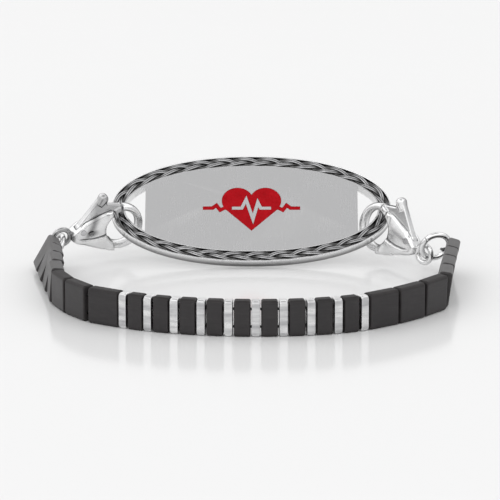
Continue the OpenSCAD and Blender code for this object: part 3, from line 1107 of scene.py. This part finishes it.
@dataclass
class JumpRings:
    """The two wire rings between the clasps and the string."""

    radius: float = 2.08
    wire: float = 0.41
    wire_sides: int = 28
    seam: float = 0.05
    # Columns: angle past the seam, share of the wire's thickness
    wire_end: Rows = ((0, 0.78), (0.24, 0.9), (0.72, 0.97), (1.6, 1.0))
    bow_from: float = 6
    bow_points: int = 117
    # Columns: x, y, z of the middle, then turn, tilt and the angle at which the thread holds it
    lays: dict = field(
        default_factory=lambda: {
            Side.LEFT: (-28.78, 11.001, 2.64, -67, 53.9, -95),
            Side.RIGHT: (27.02, 7.321, 3.74, -163.3, 65.5, -138),
        }
    )

    def place(self, side: Side) -> Matrix:
        """A ring's place, its axis along its own z."""
        x, y, z, turn, tilt, _ = self.lays[side]
        return Matrix.Translation((x, y, z)) @ turn_by(turn, "Z") @ turn_by(tilt, "X")

    def build(self, material: Material) -> None:
        """Builds both rings, each cut by a fine seam opposite the thread.

        Args:
            material: The rings' finish.
        """
        past, share = np.array(self.wire_end).T
        end = math.degrees(self.seam / self.radius) / 2 + past
        bow = np.linspace(self.bow_from, 360 - self.bow_from, self.bow_points)
        thick = np.concatenate([share, np.ones(self.bow_points), share[::-1]])
        section = ring_section(self.wire_sides, self.wire, self.wire) * thick[:, None, None]
        for side in Side:
            angles = self.lays[side][5] + 180 + np.concatenate([end, bow, 360 - end[::-1]])
            name = f"jump_ring_{side.value}"
            ring = bent_wire(name + "_wire", self.radius, np.radians(angles), section, loop=False)
            smooth_faces(ring, angle=50, weighted=False)
            dress(ring, name, material, self.place(side))

    def thread_turn(self, side: Side, start: Array, end: Array, string: BeadString) -> list:
        """The thread's turn round a ring's wire.

        Args:
            side: Which ring.
            start: Where the thread comes from.
            end: Where it goes to.
            string: The string's sizes.

        Returns:
            The turn's points.
        """
        place = self.place(side)
        outward, onward = axes(self.lays[side][5])
        turn = np.array(place.to_3x3())
        hold = np.array(place.translation) + self.radius * turn @ [*outward, 0]
        wire = turn @ [*onward, 0]
        away = hold - (start + end) / 2
        square = away - away.dot(wire) * wire
        out = square / np.linalg.norm(square)
        across = np.cross(wire, out)
        across = across * np.sign(across.dot(start - end))
        lift = wire * (start - end).dot(wire) / 2 * string.turn_lift
        radius = self.wire + string.thread_slack + string.thread_d / 2
        bow = arc(0, 180, string.turn_points)
        return [hold + c * (radius * across + lift) + s * radius * out for c, s in bow]


@dataclass
class NamePlate:
    """The oval plate with its rim, channel, end slots, pocket, enamel and braid."""

    half_len: float = 20.7
    half_height: float = 9.4
    thickness: float = 1.5
    power: float = 2.1
    lean: float = 47.3
    x: float = 0.22
    y: float = 15.601
    rim: float = 0.25
    channel: float = 1.55
    channel_depth: float = 0.6
    slot_lip: float = 0.25
    slot_from: float = 15.5
    stations: int = 288
    edge_bevel: float = 0.045
    enamel_bevel: float = 0.05
    bevel_angle: float = 50
    pocket_depth: float = 0.4
    # How far a cutting form reaches past what it cuts
    cut_past: float = 1.0
    # The enamel's lowest and highest z, and its gap to the pocket
    enamel_low: float = -0.36
    enamel_high: float = -0.005
    enamel_gap: float = 0.035
    # Painted shade on the back of the edge: how bright it stays, and the shares of the thickness over which
    # it darkens
    edge_shade: float = 0.22
    shade_from: float = 0.175
    shade_over: float = 0.5
    # The share of the outline outside which the wall is, and the depths over which the channel blackens
    wall_from: float = 0.992
    black_from: float = 0.12
    black_over: float = 0.25
    channel_margin: float = 0.02
    channel_lip: float = 0.1
    braid_periods: int = 9
    braid_swing: float = 0.5
    braid_lift: float = 0.205
    braid_gap: float = 0.165
    strand_wide: float = 0.285
    strand_high: float = 0.16
    strand_steps: int = 56
    strand_sides: int = 36
    strand_power: float = 2.3
    # How the polish falls across a strand, and from where along its rise
    crown_level: float = 1.35
    crown_fall: float = 3.6
    crest: tuple = (-0.3, 1.0)
    path_points: int = 1441
    groove: float = 0.17
    groove_dip: float = 0.8
    heart_width: float = 8.8
    lobe_share: float = 0.265
    lobe_y: float = 1.3
    lobe_points: int = 41
    point_y: float = -4.0
    pulse_reach: float = 7.2
    pulse_width: float = 0.62
    inner_pulse_width: float = 0.5
    # Columns: share of the reach, height
    outer_pulse: Rows = ((1, 0), (0.8, 0), (0.72, 0.5), (0.64, -0.35), (0.56, 0), (0.4, 0))
    inner_pulse: Rows = ((-0.4, 0), (-0.2, 0), (-0.11, 1.5), (0.03, -1.9), (0.13, 1), (0.19, 0), (0.4, 0))

    @property
    def place(self) -> Matrix:
        """The plate's place.

        Returns:
            A frame with x along its length, y up its face and z out of its face.
        """
        lean = math.radians(self.lean)
        high = self.half_height * math.cos(lean) + self.thickness * math.sin(lean)
        return Matrix.Translation((self.x, self.y, high)) @ turn_by(90 - self.lean, "X")

    def oval_point(self, t: Array) -> Array:
        """Points of the plate's outline at angles in degrees."""
        return oval_at(np.radians(t), self.half_len, self.half_height, self.power)

    def oval_inward(self, t: Array) -> Array:
        """The inward direction at angles in degrees."""
        d = unit_rows(self.oval_point(t + 1) - self.oval_point(t - 1))
        return np.column_stack([-d[:, 1], d[:, 0]])

    def oval(self, inset: float) -> Array:
        """The outline moved in by an inset."""
        t = 360 * (np.arange(self.stations) + 0.5) / self.stations
        return self.oval_point(t) + inset * self.oval_inward(t)

    def half_slot(self, side: int) -> Array:
        """The outline of one end slot, which is straight toward the plate's middle.

        Args:
            side: -1 for the left slot, 1 for the right one.

        Returns:
            The outline's points.
        """
        oval = self.oval(self.rim + self.channel + self.slot_lip)
        inside = oval[side * oval[:, 0] > self.slot_from]
        order = np.argsort(np.arctan2(inside[:, 1], side * inside[:, 0]))
        return inside[order][::side]

    def heart(self, inset: float) -> Array:
        """The heart's outline.

        Args:
            inset: How much smaller it is on all sides.

        Returns:
            The outline's points.
        """
        full = self.heart_width * self.lobe_share
        lobe_x = self.heart_width / 2 - full

        def slope(r: float, point_y: float) -> float:
            """The slope of the side that runs from the point to a lobe."""
            to = np.array([lobe_x, self.lobe_y - point_y])
            return math.degrees(math.atan2(to[1], to[0]) - math.asin(r / np.linalg.norm(to)))

        r = full - inset
        point_y = self.point_y + inset / math.cos(math.radians(slope(full, self.point_y)))
        start, end = slope(r, point_y) - 90, 180 - math.degrees(math.acos(lobe_x / r))
        lobe = arc(start, end, self.lobe_points, r, (lobe_x, self.lobe_y))
        return np.vstack([[[0, point_y]], lobe, (lobe[:-1] * (-1, 1))[::-1]])

    def stroke(self, rows: Rows, side: int, width: float, extra: float) -> Array:
        """The outline of a line of one width with mitred corners.

        Args:
            rows: The line's corners, as share of the reach and height.
            side: 1 or -1, to mirror it.
            width: The line's width.
            extra: How much longer it is at both ends.

        Returns:
            The outline's points.
        """
        p = np.array([[side * share * self.pulse_reach, high] for share, high in rows], float)
        p[0] += unit_rows((p[0] - p[1])[None])[0] * extra
        p[-1] += unit_rows((p[-1] - p[-2])[None])[0] * extra
        steps = unit_rows(np.diff(p, axis=0))
        normals = steps[:, ::-1] * (-1, 1)
        before, after = np.vstack([normals[:1], normals]), np.vstack([normals, normals[-1:]])
        mitre = unit_rows(before + after)
        offset = mitre * (width / 2) / np.einsum("ij,ij->i", mitre, before)[:, None]
        return np.vstack([p + offset, (p - offset)[::-1]])

    def emblem_form(self, name: str, gap: float, low: float, high: float) -> Piece:
        """The heart with its pulse line, as a prism.

        Args:
            name: The object's name.
            gap: How much smaller it is than its pocket.
            low: Its lowest z.
            high: Its highest z.

        Returns:
            The object.
        """
        made = prism(name, self.heart(gap), low, high)
        for side in (-1, 1):
            arm = self.stroke(self.outer_pulse, side, self.pulse_width - 2 * gap, -gap)
            combine(made, prism("arm", arm, low, high), "UNION")
        ridge = self.stroke(self.inner_pulse, 1, self.inner_pulse_width + 2 * gap, gap)
        combine(made, prism("ridge", ridge, low - self.cut_past, high + self.cut_past))
        return made

    def profile(self) -> Rows:
        """The plate's section from its back, round its rim and through its channel to its face.

        Returns:
            Rows of the distance in from the edge, and z.
        """
        depth, inner, back = self.channel_depth, self.rim + self.channel, -self.thickness
        edge = [(0.16, back), (0.05, back + 0.05), (0.0, back + 0.16)]
        edge += [(0.0, back * share) for share in (0.8, 0.55, 0.3)]
        rim = [(0.0, -0.14), (0.03, -0.05), (0.1, 0.0), (0.17, 0.0), (0.23, -0.03), (0.25, -0.09)]
        # Columns: distance in from the channel's wall, height above its floor
        foot = [(0.03, 0.12), (0.12, 0.02), (0.22, 0.0)]
        channel = [(self.rim + across, high - depth) for across, high in foot]
        channel += [(inner - across, high - depth) for across, high in reversed(foot)]
        return edge + rim + channel + [(inner, -0.07), (inner + 0.02, -0.02), (inner + 0.07, 0.0)]

    def build_plate(self, material: Material) -> None:
        """Builds the plate with its rim, channel, slots and pocket.

        Args:
            material: The plate's finish.
        """
        levels = [(self.oval(inset), np.full(self.stations, z)) for inset, z in self.profile()]
        rings = [np.column_stack(level) for level in levels]
        plate = loft("name_plate_steel", np.array(rings), loop=False)
        for side in (-1, 1):
            slot = prism("slot", self.half_slot(side), -self.thickness - self.cut_past, self.cut_past)
            combine(plate, slot)
        combine(plate, self.emblem_form("pocket", 0.0, -self.pocket_depth, self.cut_past))
        soften_edges(plate, self.edge_bevel, 2, self.bevel_angle)
        smooth_faces(plate, angle=35)
        pick_out(plate, "channel_oxide_and_edge_shade", self.channel_oxide_and_edge_shade(plate))
        dress(plate, "name_plate", material, self.place)

    def channel_oxide_and_edge_shade(self, plate: Piece) -> Array:
        """Where the plate is bright.

        Args:
            plate: The plate, in its own millimetres.

        Returns:
            For each point 1 on the open faces, less on the back half of the edge, where shade is painted,
            and 0 deep in the channel, where the metal is blackened.
        """
        x, y, z = points_of(plate).T
        grown = (np.abs(x) / self.half_len) ** self.power + (np.abs(y) / self.half_height) ** self.power
        inner = (self.half_height - self.rim - self.channel - self.channel_margin) / self.half_height
        floor = (z > -self.channel_depth - self.channel_margin) & (z < -self.channel_lip)
        wall = grown > self.wall_from
        in_channel = (grown > inner**self.power) & floor & ~wall
        # Painted shade: the back half of the outer wall darkens toward the back
        low = ramp(-z, self.shade_from * self.thickness, self.shade_over * self.thickness)
        shade = np.where(in_channel, 1 - ramp(-z, self.black_from, self.black_over), 1.0)
        return np.where(wall, 1 - (1 - self.edge_shade) * low, shade)

    def build_enamel(self, material: Material) -> None:
        """Builds the enamel that fills the pocket.

        Args:
            material: The enamel's finish.
        """
        enamel = self.emblem_form("emblem_enamel", self.enamel_gap, self.enamel_low, self.enamel_high)
        soften_edges(enamel, self.enamel_bevel, 3, self.bevel_angle)
        smooth_faces(enamel, angle=50)
        dress(enamel, "emblem_inlay", material, self.place)

    def build_braid(self, material: Material) -> None:
        """Builds the three strands, with the share of polish at each point.

        Args:
            material: The strands' finish.
        """
        inset = self.rim + self.channel / 2
        fine = np.linspace(0, 360, self.path_points)
        path = self.oval_point(fine) + inset * self.oval_inward(fine)
        run = np.concatenate([[0], np.cumsum(np.linalg.norm(np.diff(path, axis=0), axis=1))])
        count = self.braid_periods * self.strand_steps
        share = np.arange(count) / count
        t = np.interp(share * run[-1], run, fine)
        inward = self.oval_inward(t)
        middle_z = -self.channel_depth + self.braid_lift + self.braid_gap
        section = ring_section(self.strand_sides, self.strand_high, self.strand_wide, self.strand_power)
        upper = section[:, 0] > 0
        groove = bell(section[:, 1], 0, self.groove * self.strand_wide) * upper
        section[:, 0] *= 1 - self.groove_dip * groove
        beside = np.abs(np.abs(section[:, 1]) / self.strand_wide - 0.5)
        crown = np.clip(self.crown_level - self.crown_fall * beside, 0, 1) * (1 - groove) * upper
        for strand in (1, 2, 3):
            phase = np.radians(360 * self.braid_periods * share + 120 * strand)
            flat = self.oval_point(t) + inward * (inset + self.braid_swing * np.sin(phase))[:, None]
            points = np.column_stack([flat, middle_z + self.braid_lift * np.sin(2 * phase)])
            piece = braced_sweep(f"braid_strand_{strand}_wire", points, section, flat_first=False)
            crest = ramp(np.sin(2 * phase), *self.crest)
            pick_out(piece, "polish", (crest[:, None] * crown[None]).reshape(-1))
            smooth_faces(piece, angle=60, weighted=False)
            dress(piece, f"braid_strand_{strand}", material, self.place)


@dataclass
class LeverClasps:
    """The two cast lever clasps: eye, cheeks and hook in one body, and the lever on its pin."""

    eye_radius: float = 1.28
    eye_wire: float = 0.36
    eye_points: int = 96
    eye_sides: int = 24
    body_half: float = 1.25
    body_edge: float = 0.42
    hook_half: float = 0.85
    hook_from: float = 222
    hook_to: float = 444
    hook_taper: float = 0.12
    hook_points: int = 90
    hook_sides: int = 28
    hook_power: float = 2.2
    lever_half: float = 0.5
    clearance: float = 0.08
    room_size: float = 9
    round_sides: int = 48
    bore_reach: float = 3
    hub: float = 0.9
    pin_hole: float = 0.45
    lever_hole: float = 0.47
    gate_width: float = 1.05
    gate_reach: float = 6.8
    gate_angle: float = 22.5
    gate_end: float = 4.4
    nose_from: float = 5.5
    heel_scale: float = 1.2
    tab_lean: float = 30.5
    tab_radius: float = 0.72
    tab_half: float = 0.82
    # The thumb tab's root and round end, as distances back from the gate's tip, and half its root's width
    tab_root: float = 2.4
    tab_round: float = 1.1
    tab_root_half: float = 0.5
    slot_floor: float = -3
    pivot: tuple = (3.0, 0.8)
    opening_middle: tuple = (9.1, 0.15)
    opening_radii: tuple = (2.4, 2.65)
    # The part of the opening's edge that bounds the cheeks: two angles, and its gap to their top's end
    bow: tuple = (243, 120)
    bow_points: int = 30
    bow_gap: tuple = (0.1, 0.25)
    hook_middle: tuple = (9.1, 0.2)
    hook_radii: tuple = (3.5, 3.7)
    voxel: float = 0.065
    lever_voxel: float = 0.05525
    crease_depth: float = 0.16
    dome_depth: float = 0.2
    belly_depth: float = 0.42
    deepest: float = 0.5
    hollow: tuple = (4.35, 0.35)
    hollow_depth: float = 0.36
    hollow_size: tuple = (0.62, 0.45)
    crease_width: float = 0.17
    dome_middle: float = 0.9
    belly_power: float = 2.2
    # Ramps, each with its start and width: along the cheek, across its thickness, and toward the hook's tip
    press_start: tuple = (1.7, 1.9)
    press_end: tuple = (7.1, -0.5)
    dome_end: tuple = (4.6, 2.4)
    skin: tuple = (0.75, 0.4)
    hook_tip: tuple = (380, 60)
    # Painted shade: how dark the hollow, the band beside it, the eye, the crease and the lever are painted
    hollow_shade: float = 0.88
    band_shade: float = 0.72
    eye_shade: float = 0.6
    crease_shade: float = 0.5
    lever_shade: float = 0.5
    shade_size: tuple = (0.95, 0.66)
    shade_power: float = 1.3
    shade_skin: float = 0.6
    band_back: float = 0.3
    band_slope: float = 0.42
    band_width: float = 0.62
    band_rise: float = 0.6
    groove_width: float = 0.16
    # Ramps of the painted shade, each with its start and width: the eye's, the crease's two ends, and the
    # lever's two
    eye_ramp: tuple = (1.9, -0.3)
    groove_start: tuple = (2.2, 0.6)
    groove_end: tuple = (7.4, -0.5)
    lever_along: tuple = (4, 1.2)
    lever_across: tuple = (-0.3, 0.6)
    # Columns: distance from the eye, height
    underside: Rows = (
        (1.3, -0.45), (2, -1.05), (2.6, -1.35), (3.4, -1.7), (4, -2),
        (5, -2.5), (6, -2.95), (6.9, -3.2), (8, -3.45),
    )
    # Columns: distance from the eye, height
    cheek_top: Rows = (
        (1.3, 0.45), (2, 1.1), (2.6, 1.58), (3, 1.72), (3.5, 2.12), (4.2, 2.4),
        (5, 2.68), (5.8, 2.98), (6.6, 3.22), (7.3, 3.38), (7.65, 3.4), (7.9, 2.75),
    )
    # Columns: distance from the eye, height of the crease along the cheek
    crease: Rows = ((2.2, -0.3), (3.4, -0.62), (4.6, -0.72), (6, -0.62), (7, -0.4))
    # Columns: share of the gate's reach, angle above the gate bar
    web: Rows = ((0, 0), (0.735, 0), (0.98, 5), (0.785, 20.6), (0.904, 25.9), (0.897, 36), (0.125, 112.5))
    # Columns: x, y, z of the eye, then turn, rise and roll
    lays: dict = field(
        default_factory=lambda: {
            Side.LEFT: (-27.62, 10.891, 4.22, 21.7, 5.4, 107.9),
            Side.RIGHT: (25.42, 7.491, 2.56, 137, 15.3, 94),
        }
    )

    def place(self, side: Side) -> Matrix:
        """A clasp's place: the eye at the origin, the hook along x and the gate at y."""
        x, y, z, turn, rise, roll = self.lays[side]
        return Matrix.Translation((x, y, z)) @ turn_by(turn, "Z") @ turn_by(-rise, "Y") @ turn_by(roll, "X")

    def side_outline(self) -> Array:
        """The body's side, with its edge along the opening.

        Returns:
            The outline's points.
        """
        bow = arc(*self.bow, self.bow_points, self.opening_radii, self.opening_middle)
        (end_x, end_y), (gap_x, gap_y) = self.cheek_top[-1], self.bow_gap
        wall = bow[(bow[:, 0] < end_x + gap_x) & (bow[:, 1] < end_y - gap_y)]
        return np.vstack([np.array(self.underside), wall, np.array(self.cheek_top)[::-1]])

    def lever_room(self) -> list:
        """The prisms that clear the lever's room between the cheeks.

        Returns:
            The room round the hub and the slot for the bar.
        """
        half = self.lever_half + self.clearance
        px, py = self.pivot
        along, up = axes(self.slot_floor)
        low = np.array([px, py]) - up * (self.gate_width / 2 + self.clearance)
        size = self.room_size
        wedge = np.array([low, low + along * size, low + along * size + up * size, [px, py + size]])
        hub = circle(self.round_sides, self.hub + self.clearance, self.pivot)
        return [prism("hub_room", hub, -half, half), prism("lever_slot", wedge, -half, half)]

    def hook(self) -> Piece:
        """The hook, one round bow from the spine to the nose.

        Returns:
            The hook.
        """
        direction = arc(self.hook_from, self.hook_to, self.hook_points)
        middle = (np.array(self.opening_middle) + np.array(self.hook_middle)) / 2
        inner, outer = np.array(self.opening_radii), np.array(self.hook_radii)
        run = np.column_stack([middle + direction * (inner + outer) / 2, np.zeros(len(direction))])
        half = np.linalg.norm(direction * (outer - inner) / 2, axis=1)
        across = np.cross(unit_rows(np.gradient(run, axis=0)), Z_AXIS)
        tip = ramp(np.linspace(self.hook_from, self.hook_to, self.hook_points), *self.hook_tip)
        thick = self.hook_half * (1 - self.hook_taper * tip)
        sizes = zip(half, thick)
        section = np.array([ring_section(self.hook_sides, h, k, self.hook_power) for h, k in sizes])
        return sweep("hook", run, across, Z_AXIS, section, loop=False)

    def eye(self) -> Piece:
        """The eye that the jump ring passes through.

        Returns:
            The eye.
        """
        turns = np.radians(np.linspace(0, 360, self.eye_points, endpoint=False))
        section = ring_section(self.eye_sides, self.eye_wire, self.eye_wire)
        return bent_wire("eye", self.eye_radius, turns, section, loop=True)

    def pin_bore(self, radius: float) -> Piece:
        """The bore for the pin."""
        outline = circle(self.round_sides, radius, self.pivot)
        return prism("pin_bore", outline, -self.bore_reach, self.bore_reach)

    def body_form(self) -> Piece:
        """Builds the clasp's body in its own frame, in millimetres.

        Returns:
            The body.
        """
        cheeks = soft_slab("cheeks", self.side_outline(), self.body_half, self.body_edge)
        for tool in self.lever_room():
            combine(cheeks, tool)
        form = merge([cheeks, self.hook(), self.eye()], "clasp_form")
        melt(form, self.voxel, 5)
        self.press_crease(form)
        combine(form, self.pin_bore(self.pin_hole))
        smooth_faces(form, angle=42, weighted=False)
        # Stores the painted shade of the crease, the hollow, the band beside it and the eye
        pick_out(form, "painted_shade_mask", self.painted_shade_mask(form))
        return form

    def press_crease(self, form: Piece) -> None:
        """Domes both cheeks, presses in the crease and rounds the belly below it.

        Args:
            form: The body, in its own millimetres.
        """
        co = points_of(form)
        x, y, z = co.T
        tables = (self.crease, self.underside, self.cheek_top)
        line, bottom, top = (read_table(rows, x) for rows in tables)
        share = ramp(y, line, top - line)
        fall = ramp(y, line, -np.maximum(line - bottom, 0.1))
        start = ramp(x, *self.press_start)
        along = start * start * (3 - 2 * start) * ramp(x, *self.press_end)
        dome = self.dome_depth * ((2 * share - self.dome_middle) ** 2 + ramp(x, *self.dome_end) ** 2)
        belly = self.belly_depth * fall**self.belly_power
        (pit_x, pit_y), (wide, high) = self.hollow, self.hollow_size
        pit = self.hollow_depth * bell(x, pit_x, wide) * bell(y, pit_y, high) * (z > 0)
        drop = self.crease_depth * bell(y, line, self.crease_width) + np.where(y > line, dome, belly) + pit
        skin = np.sign(z) * ramp(np.abs(z), *self.skin)
        co[:, 2] -= skin * along * np.minimum(drop, self.deepest)
        form.data.vertices.foreach_set("co", co.reshape(-1))
        form.data.update()

    def painted_shade_mask(self, form: Piece) -> Array:
        """Where the body is bright.

        Args:
            form: The body, in its own millimetres.

        Returns:
            For each point 1 where the body is left bright, less where shade is painted: in the crease, the
            hollow, the band beside it and the eye.
        """
        x, y, z = points_of(form).T
        line = read_table(self.crease, x)
        (pit_x, pit_y), (wide, high) = self.hollow, self.shade_size
        away = ((x - pit_x) / wide) ** 2 + ((y - pit_y) / high) ** 2
        pit = self.hollow_shade * np.exp(-(away**self.shade_power))
        band_x = pit_x - self.band_back + self.band_slope * (y - pit_y)
        band = self.band_shade * bell(x, band_x, self.band_width) * ramp(y, line, self.band_rise)
        eye = self.eye_shade * ramp(np.hypot(x, y), *self.eye_ramp) * (z > 0)
        along = ramp(x, *self.groove_start) * ramp(x, *self.groove_end) * (np.abs(z) > self.shade_skin)
        groove = self.crease_shade * bell(y, line, self.groove_width) * along
        # Painted shade on the +z cheek alone: a dark hollow and a dark band beside it
        front = np.where(z > self.shade_skin, np.maximum(pit, band), 0)
        return 1 - np.clip(groove + front + eye, 0, 1)

    def lever_form(self) -> Piece:
        """Builds the lever in the clasp's own frame, in millimetres.

        Returns:
            The lever.
        """
        gate, tab_axes = np.array(axes(self.gate_angle)), np.array(axes(self.gate_angle + self.tab_lean))
        bend = arc(-self.gate_end, self.gate_end, 7)
        nose, heel = self.gate_reach * bend, self.nose_from * bend[::-1] * (1, self.heel_scale)
        root = self.gate_width / 2
        share, angle = np.array(self.web).T
        turned = np.radians(angle)
        web = (share * self.gate_reach)[:, None] * np.column_stack([np.cos(turned), np.sin(turned)])
        near, wide = self.gate_reach - self.tab_root, self.tab_root_half
        cap = arc(-90, 90, 17, self.tab_radius, (self.gate_reach - self.tab_round, 0))
        # Each part: name, outline, direction, half thickness, rounding
        parts = [
            ("lever_hub", circle(self.round_sides, self.hub), gate, self.lever_half, 0.12),
            ("lever_bar", np.vstack([[[0, -root]], nose, [[0, root]]]), gate, self.lever_half, 0.16),
            ("lever_web", web, gate, self.lever_half, 0.16),
            ("lever_head", np.vstack([nose, heel]), gate, self.hook_half, 0.4),
            ("lever_tab", np.vstack([cap, [[near, wide], [near, -wide]]]), tab_axes, self.tab_half, 0.62),
        ]
        slabs = [soft_slab(name, flat @ turn + self.pivot, *sizes) for name, flat, turn, *sizes in parts]
        form = merge(slabs, "lever_form")
        melt(form, self.lever_voxel, 3)
        combine(form, self.pin_bore(self.lever_hole))
        smooth_faces(form, angle=42, weighted=False)
        x, _, z = points_of(form).T
        # Painted shade: the lever's +z face darkens toward its tab
        shade = ramp(x, *self.lever_along) * ramp(z, *self.lever_across)
        pick_out(form, "painted_shade_mask", 1 - self.lever_shade * shade)
        return form

    def build(self, material: Material, lever_material: Material) -> None:
        """Builds both clasps from one body and one lever form.

        Args:
            material: The bodies' finish.
            lever_material: The levers' finish.
        """
        forms = {"body": (self.body_form(), material), "lever": (self.lever_form(), lever_material)}
        for side in Side:
            for part, (form, finish) in forms.items():
                node = f"clasp_{part}_{side.value}"
                piece = link(node + "_cast", form.data.copy())
                body = BAND_BODY if part == "body" else f"lever_{side.value}"
                dress(piece, node, finish, self.place(side), body)
        for form, _ in forms.values():
            bpy.data.objects.remove(form)

    def dress_pins(self, material: Material) -> None:
        """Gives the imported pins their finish.

        Args:
            material: The pins' finish.
        """
        for side in Side:
            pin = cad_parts[f"clasp_pin_{side.value}"]
            pin.data.materials.clear()
            pin.data.materials.append(material)
            log.info("%s: packed node, new finish", pin.name)


@dataclass
class Studio:
    """The floor, the lights and the camera."""

    elevation: float = 14.0
    distance: float = 600.0
    look_at: tuple = (0.0, 0.0, 5.0)
    width_seen: float = 72.0
    sensor: float = 36.0
    floor_size: float = 6000.0
    low_colour: tuple = (0.94, 0.94, 0.94)
    high_colour: tuple = (1.31, 1.31, 1.31)
    top_colour: tuple = (0.5, 0.5, 0.505)
    card_colour: tuple = (0.7, 0.7, 0.705)
    # The soft light: place and side in metres, power in watts
    light_place: tuple = (-0.35, -0.7, 0.55)
    light_size: float = 0.3
    light_power: float = 0.35

    def build_floor(self, material: Material) -> None:
        """Lays the floor.

        Args:
            material: The floor's finish.
        """
        half = self.floor_size / 2
        corners = np.array([(-half, -half, 0), (half, -half, 0), (half, half, 0), (-half, half, 0)])
        floor = new_object("floor", corners, [(0, 1, 2, 3)])
        floor.data.transform(Matrix.Scale(MM, 4))
        floor.data.materials.append(material)

    def build_camera(self) -> None:
        """Sets the camera at the photograph's viewing angle."""
        data = bpy.data.cameras.new("camera")
        data.sensor_width = self.sensor
        data.lens = self.sensor * self.distance / self.width_seen
        data.clip_start, data.clip_end = 0.02, 50
        camera = link("camera", data)
        tilt = math.radians(self.elevation)
        back = Vector((0, -math.cos(tilt), math.sin(tilt)))
        target = Vector(self.look_at) + Vector(OBJECT_SHIFT)
        camera.location = (target + back * self.distance) * MM
        camera.rotation_euler = (-back).to_track_quat("-Z", "Y").to_euler()
        bpy.context.scene.camera = camera

    def build_world(self) -> None:
        """A pale room: softer overhead, and darker to the right so that polished edges stand out."""
        world = bpy.data.worlds.new("studio")
        bpy.context.scene.world = world
        world.use_nodes = True
        nodes = Nodes(world.node_tree)
        background = next(n for n in world.node_tree.nodes if n.type == "BACKGROUND")
        direction = nodes.add("ShaderNodeTexCoord").outputs["Generated"]
        parts = nodes.add("ShaderNodeSeparateXYZ", {0: direction}).outputs
        # Columns: axis, where the step starts, where it ends
        steps = (("X", 0.6, 0.85), ("Z", 0.7, 0.4), ("Z", 0.3, 0.55), ("Z", 0.82, 0.96))
        soft = {"interpolation_type": "SMOOTHSTEP"}
        right, below, upper, top = (nodes.window(parts[axis], a, b, **soft) for axis, a, b in steps)
        room = nodes.blend(upper, self.low_colour, self.high_colour)
        room = nodes.blend(top, room, self.top_colour)
        room = nodes.blend(nodes.calculate("MULTIPLY", right, below), room, self.card_colour)
        nodes.feed(background, {"Color": room, "Strength": 1.0})

    def build_light(self) -> None:
        """Adds a soft square light that points at the object."""
        data = bpy.data.lights.new("front_soft", "AREA")
        data.size, data.energy = self.light_size, self.light_power
        light = link("front_soft", data)
        light.location = self.light_place
        light.rotation_euler = (-Vector(self.light_place)).to_track_quat("-Z", "Y").to_euler()

    def build(self, material: Material) -> None:
        """Builds the whole studio.

        Args:
            material: The floor's finish.
        """
        self.build_floor(material)
        self.build_camera()
        self.build_world()
        self.build_light()
        bpy.context.scene.view_settings.view_transform = "Standard"


def build_band(effects: Effects) -> None:
    """Builds the string of beads, the thread and the jump rings.

    Args:
        effects: The shared node groups.
    """
    satin = Steel(
        "spacer_satin",
        bright=(0.86, 0.86, 0.86),
        dull=(0.4, 0.4, 0.41),
        roughness=(0.24, 0.36),
        stretch=(180.0, 700.0, 1300.0),
        line_tone=0.8,
    )
    polish = Steel("ring_polish", roughness=(0.16, 0.28), edge_tint=0.0)
    string, rings = BeadString(), JumpRings()
    string.build(PressedGlass("charcoal_glass").material(effects), satin.material(effects))
    string.build_thread(rings, Fibre("grey_thread").material(effects))
    rings.build(polish.material(effects))


def build_plate(effects: Effects) -> None:
    """Builds the name plate with its enamel and braid.

    Args:
        effects: The shared node groups.
    """
    brushed = Steel(
        "plate_brushed",
        bright=(0.9, 0.9, 0.9),
        dull=(0.8, 0.8, 0.805),
        roughness=(0.2, 0.3),
        stretch=(9000.0, 350.0, 9000.0),
        line_depth=0.00001,
        line_tone=0.6,
        cloud_size=0.006,
        oxide_and_painted_shade="channel_oxide_and_edge_shade",
    )
    antique = Steel(
        "braid_antique",
        bright=(0.62, 0.62, 0.63),
        dull=(0.35, 0.35, 0.36),
        roughness=(0.2, 0.34),
        oxide_and_painted_shade="polish",
        oxide_and_painted_shade_colour=(0.095, 0.094, 0.094),
    )
    plate = NamePlate()
    plate.build_plate(brushed.material(effects))
    plate.build_enamel(Enamel("red_enamel").material(effects))
    plate.build_braid(antique.material(effects))


def build_clasps(effects: Effects) -> None:
    """Builds the lever clasps.

    Args:
        effects: The shared node groups.
    """
    body = Steel(
        "clasp_polish",
        roughness=(0.2, 0.3),
        edge_tint=0.0,
        oxide_and_painted_shade="painted_shade_mask",
        oxide_and_painted_shade_colour=(0.09, 0.09, 0.092),
    )
    lever = replace(body, name="lever_polish", dull=(0.75, 0.75, 0.76))
    turned = Steel(
        "pin_turned",
        bright=(0.6, 0.6, 0.61),
        dull=(0.45, 0.45, 0.46),
        roughness=(0.2, 0.35),
        packed=True,
    )
    clasps = LeverClasps()
    clasps.build(body.material(effects), lever.material(effects))
    clasps.dress_pins(turned.material(effects))


def corners(pair: Sequence[Vector]) -> list:
    """A box's two corners as plain lists."""
    return [[float(c) for c in corner] for corner in pair]


def main() -> None:
    """Builds the bracelet, sub-assembly by sub-assembly, and the studio round it."""
    logging.basicConfig(level=logging.INFO, format="%(message)s")
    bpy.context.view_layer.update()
    effects = Effects()
    build_plate(effects)
    build_clasps(effects)
    build_band(effects)
    Studio().build(FloorFinish("studio_floor").material(effects))


if __name__ == "__main__":
    main()
